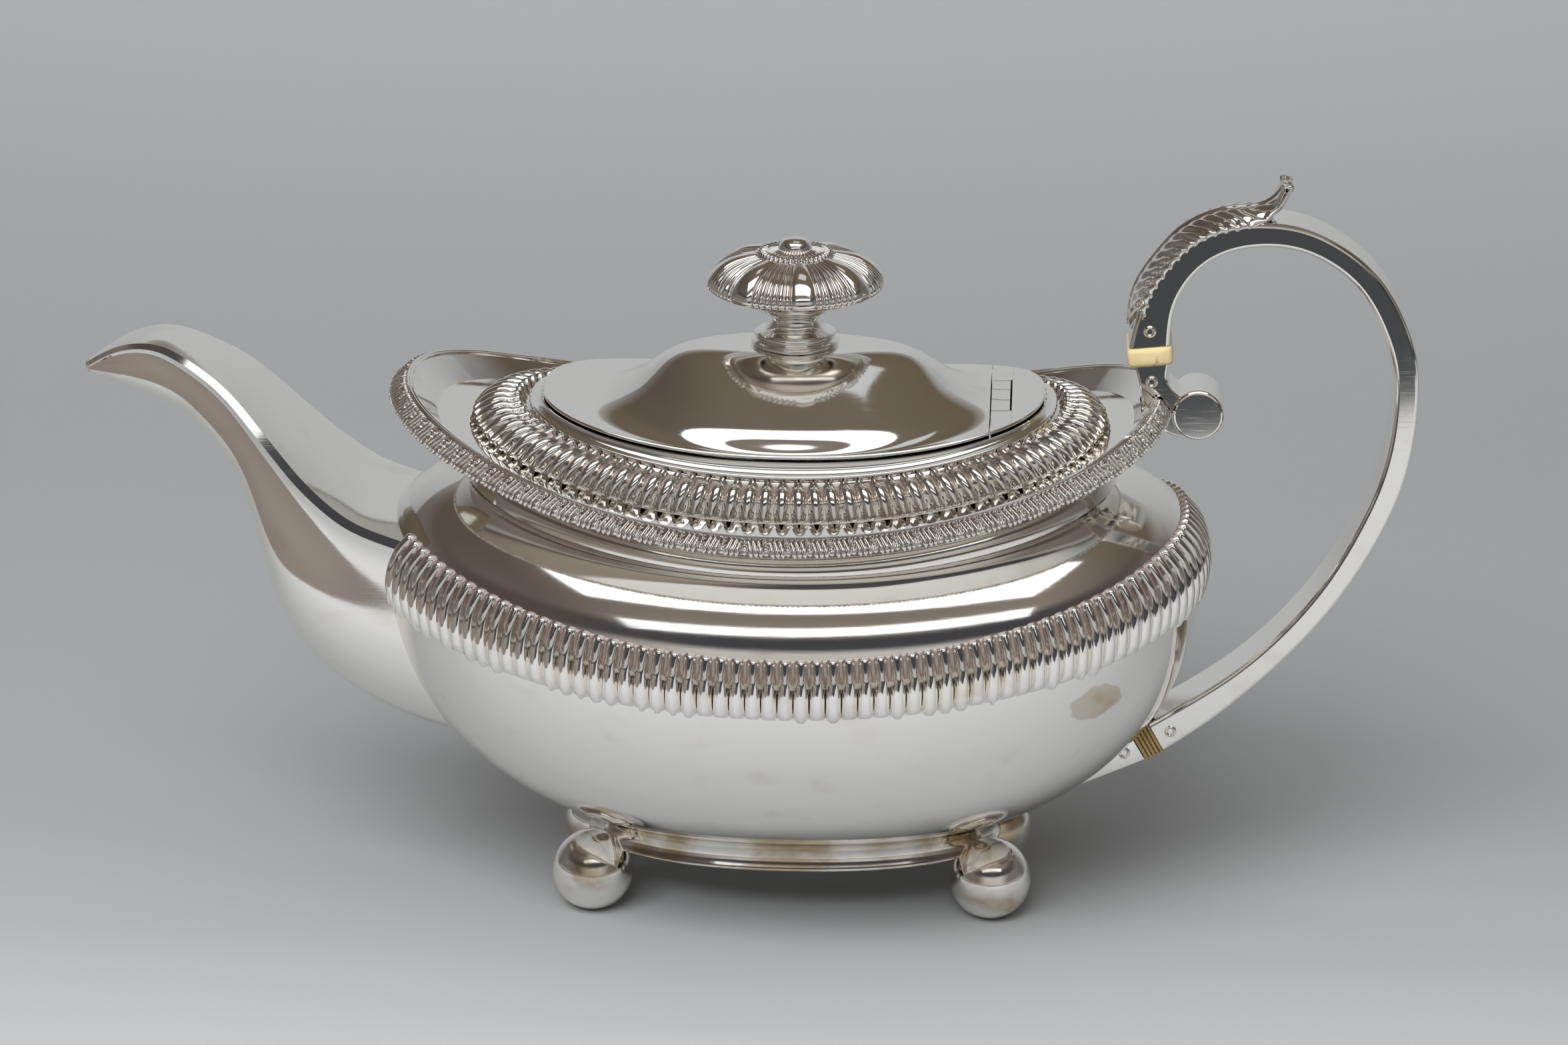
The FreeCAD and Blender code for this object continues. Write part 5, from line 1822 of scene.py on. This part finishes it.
@dataclass
class Inside:
    """Pieces of the frame that show only through the mouth and stay as they are."""

    nodes: tuple[str, ...] = ("mouth_ring", "strainer", "lid_bezel", "finial_bolt", "finial_nut", "hinge_pin")

    def build(self) -> None:
        """Dress the pieces."""
        for name in self.nodes:
            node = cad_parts[name]
            node.data.materials.clear()
            node.data.materials.append(SATIN.material())
            LOG.info("%s: dressed", name)


@dataclass(frozen=True)
class Lamp:
    """Rectangular soft light."""

    name: str
    spot: tuple[float, float, float]
    aim: tuple[float, float, float]
    size: tuple[float, float]
    power: float
    tint: Colour
    mirrored: bool = True

    def build(self) -> None:
        """Hang the light."""
        light = bpy.data.lights.new(self.name, "AREA")
        light.shape = "RECTANGLE"
        light.size, light.size_y = self.size
        light.energy = self.power
        light.color = self.tint
        lamp = bpy.data.objects.new(self.name, light)
        lamp.location = self.spot
        lamp.rotation_euler = (Vector(self.aim) - Vector(self.spot)).to_track_quat("-Z", "Y").to_euler()
        lamp.visible_glossy = self.mirrored
        bpy.context.scene.collection.objects.link(lamp)


@dataclass
class Studio:
    """Paper, soft lights and camera."""

    target: tuple[float, float, float] = (-2.4, 0.0, 85.8)
    azimuth: float = 3.3
    elevation: float = 19.2
    distance: float = 1000.0
    focal_px: float = 6862.0
    image_width: float = 2352.0
    flag_run: tuple[float, float] = (-6.0, -0.330)
    flag_slant: tuple[float, float] = (0.10, 0.56)
    flag_spout_slant: tuple[float, float] = (-0.10, 1.6)
    flag_width: float = 6.0
    flag_height: float = 0.002
    paper_run: tuple[float, float] = (-7.0, 9.6)
    paper_bend: tuple[float, float] = (1.0, 0.8)
    paper_width: float = 14.0
    sensor: float = 36.0
    lamps: tuple[Lamp, ...] = (
        Lamp("scrim", (0.08, -0.345, 1.25), (0.08, -0.345, 0.0), (1.30, 0.63), 3.25, (0.92, 0.97, 1.0)),
        Lamp("strip", (0.14, -0.98, 0.98), (0.0, 0.0, 0.08), (1.36, 0.20), 0.92, (0.92, 0.97, 1.0)),
        Lamp("window", (0.06, 0.36, 1.05), (0.0, 0.0, 0.1), (0.34, 0.30), 0.16, (0.84, 0.93, 1.0)),
        Lamp("key", (-0.40, -1.15, 1.35), (0.0, 0.0, 0.0), (1.3, 1.0), 33.0, (0.975, 0.99, 1.0), False),
        Lamp("backdrop", (0.0, 0.35, 1.6), (0.0, 1.9, 0.75), (2.2, 0.5), 12.0, (0.975, 0.99, 1.0), False),
    )

    def build(self) -> None:
        """Make paper, lights, world and camera."""
        self.paper()
        self.flag()
        for lamp in self.lamps:
            lamp.build()
        self.world()
        self.camera()

    def paper(self) -> None:
        """Make the sheet of paper, flat under the pot and curved up behind it."""
        front, length = self.paper_run
        start, radius = self.paper_bend

        def place(u: float, v: float) -> Vector:
            """Point of the paper.

            Args:
                u: share across.
                v: share from front to back.

            Returns:
                The point, in metres.
            """
            run = front + length * v
            y, z = run, 0.0
            if run > start:
                angle = min((run - start) / radius, QUARTER_TURN)
                y = start + radius * math.sin(angle)
                z = radius * (1.0 - math.cos(angle)) + max(run - start - radius * QUARTER_TURN, 0.0)
            return Vector((self.paper_width * (u - 0.5), y, z))

        Form().sheet(24, 160, place).made("paper", PaperFinish())

    def flag(self) -> None:
        """Lay a dark card in front of the pot, which only its reflections show."""
        low, high = self.flag_run
        bend, slant = self.flag_slant
        spout_bend, spout_slant = self.flag_spout_slant

        def place(u: float, v: float) -> Vector:
            """Point of the card, whose edge slants away past the handle and comes nearer past the spout.

            Args:
                u: share across.
                v: share from front to back.

            Returns:
                The point, in metres.
            """
            x = self.flag_width * (u - 0.5)
            edge = high - slant * min(max(x - bend, 0.0), 0.15)
            edge += spout_slant * min(max(spout_bend - x, 0.0), 0.5)
            return Vector((x, low + (edge - low) * v, self.flag_height))

        card = Form().sheet(120, 1, place).made("flag", FlagFinish())
        card.visible_camera = card.visible_shadow = card.visible_diffuse = False

    def world(self) -> None:
        """Make the dim room that the silver mirrors."""
        world = bpy.data.worlds.new("dim_room")
        world.use_nodes = True
        bpy.context.scene.world = world
        graph = Graph(world.node_tree)
        place = graph.value("ShaderNodeTexCoord", {}, {}, "Generated")
        across, depth, height = [graph.axis(place, name) for name in "XYZ"]
        front = ((0.0, (0.05, 0.05, 0.055)), (0.485, (0.035, 0.037, 0.045)), (0.52, (0.46, 0.45, 0.425)),
                 (0.69, (0.52, 0.51, 0.485)), (0.725, (0.05, 0.05, 0.058)), (0.79, (0.05, 0.05, 0.058)),
                 (0.83, (0.24, 0.215, 0.185)), (1.0, (0.15, 0.13, 0.105)))
        rear = ((0.0, (0.20, 0.20, 0.20)), (0.50, (0.30, 0.30, 0.30)), (0.74, (0.34, 0.34, 0.335)),
                (0.80, (0.13, 0.105, 0.075)), (1.0, (0.15, 0.125, 0.095)))
        ahead, behind = [graph.value("ShaderNodeValToRGB", {"stops": stops}, {0: height * 0.5 + 0.5})
                         for stops in (front, rear)]
        colour = graph.mix(depth.ramp(-0.3, 0.3), ahead, behind)
        sides = (0.0 - across).ramp(0.15, 0.60) + across.ramp(0.45, 0.85)
        colour = graph.mix(0.8 * sides * height.ramp(-0.02, 0.12), colour, (0.085, 0.070, 0.060))
        back = graph.value("ShaderNodeBackground", {}, {"Color": colour, "Strength": 1.0})
        graph.node("ShaderNodeOutputWorld", {}, {"Surface": back})

    def camera(self) -> None:
        """Place the camera at the photograph's angle."""
        lens = bpy.data.cameras.new("camera")
        lens.sensor_fit = "HORIZONTAL"
        lens.sensor_width = self.sensor
        lens.lens = self.sensor * self.focal_px / self.image_width
        lens.clip_start = 0.01
        turn, tilt = math.radians(self.azimuth), math.radians(self.elevation)
        away = Vector((math.sin(turn) * math.cos(tilt), -math.cos(turn) * math.cos(tilt), math.sin(tilt)))
        aim = Vector(self.target) * MM + Vector((POT_X, 0.0, 0.0))
        camera = bpy.data.objects.new("camera", lens)
        camera.location = aim + away * (self.distance * MM)
        camera.rotation_euler = (-away).to_track_quat("-Z", "Y").to_euler()
        bpy.context.scene.collection.objects.link(camera)
        bpy.context.scene.camera = camera
        bpy.context.scene.view_settings.view_transform = "Standard"


def main() -> None:
    """Build the pot piece by piece, then the studio."""
    logging.basicConfig(level=logging.INFO, format="%(name)s %(message)s")
    for part in (Foot(), Bowl(), Cover(), Lid(), Finial(), Spout(), Handle(), Inside(), Studio()):
        LOG.info("building %s", type(part).__name__)
        part.build()


if __name__ == "__main__":
    main()
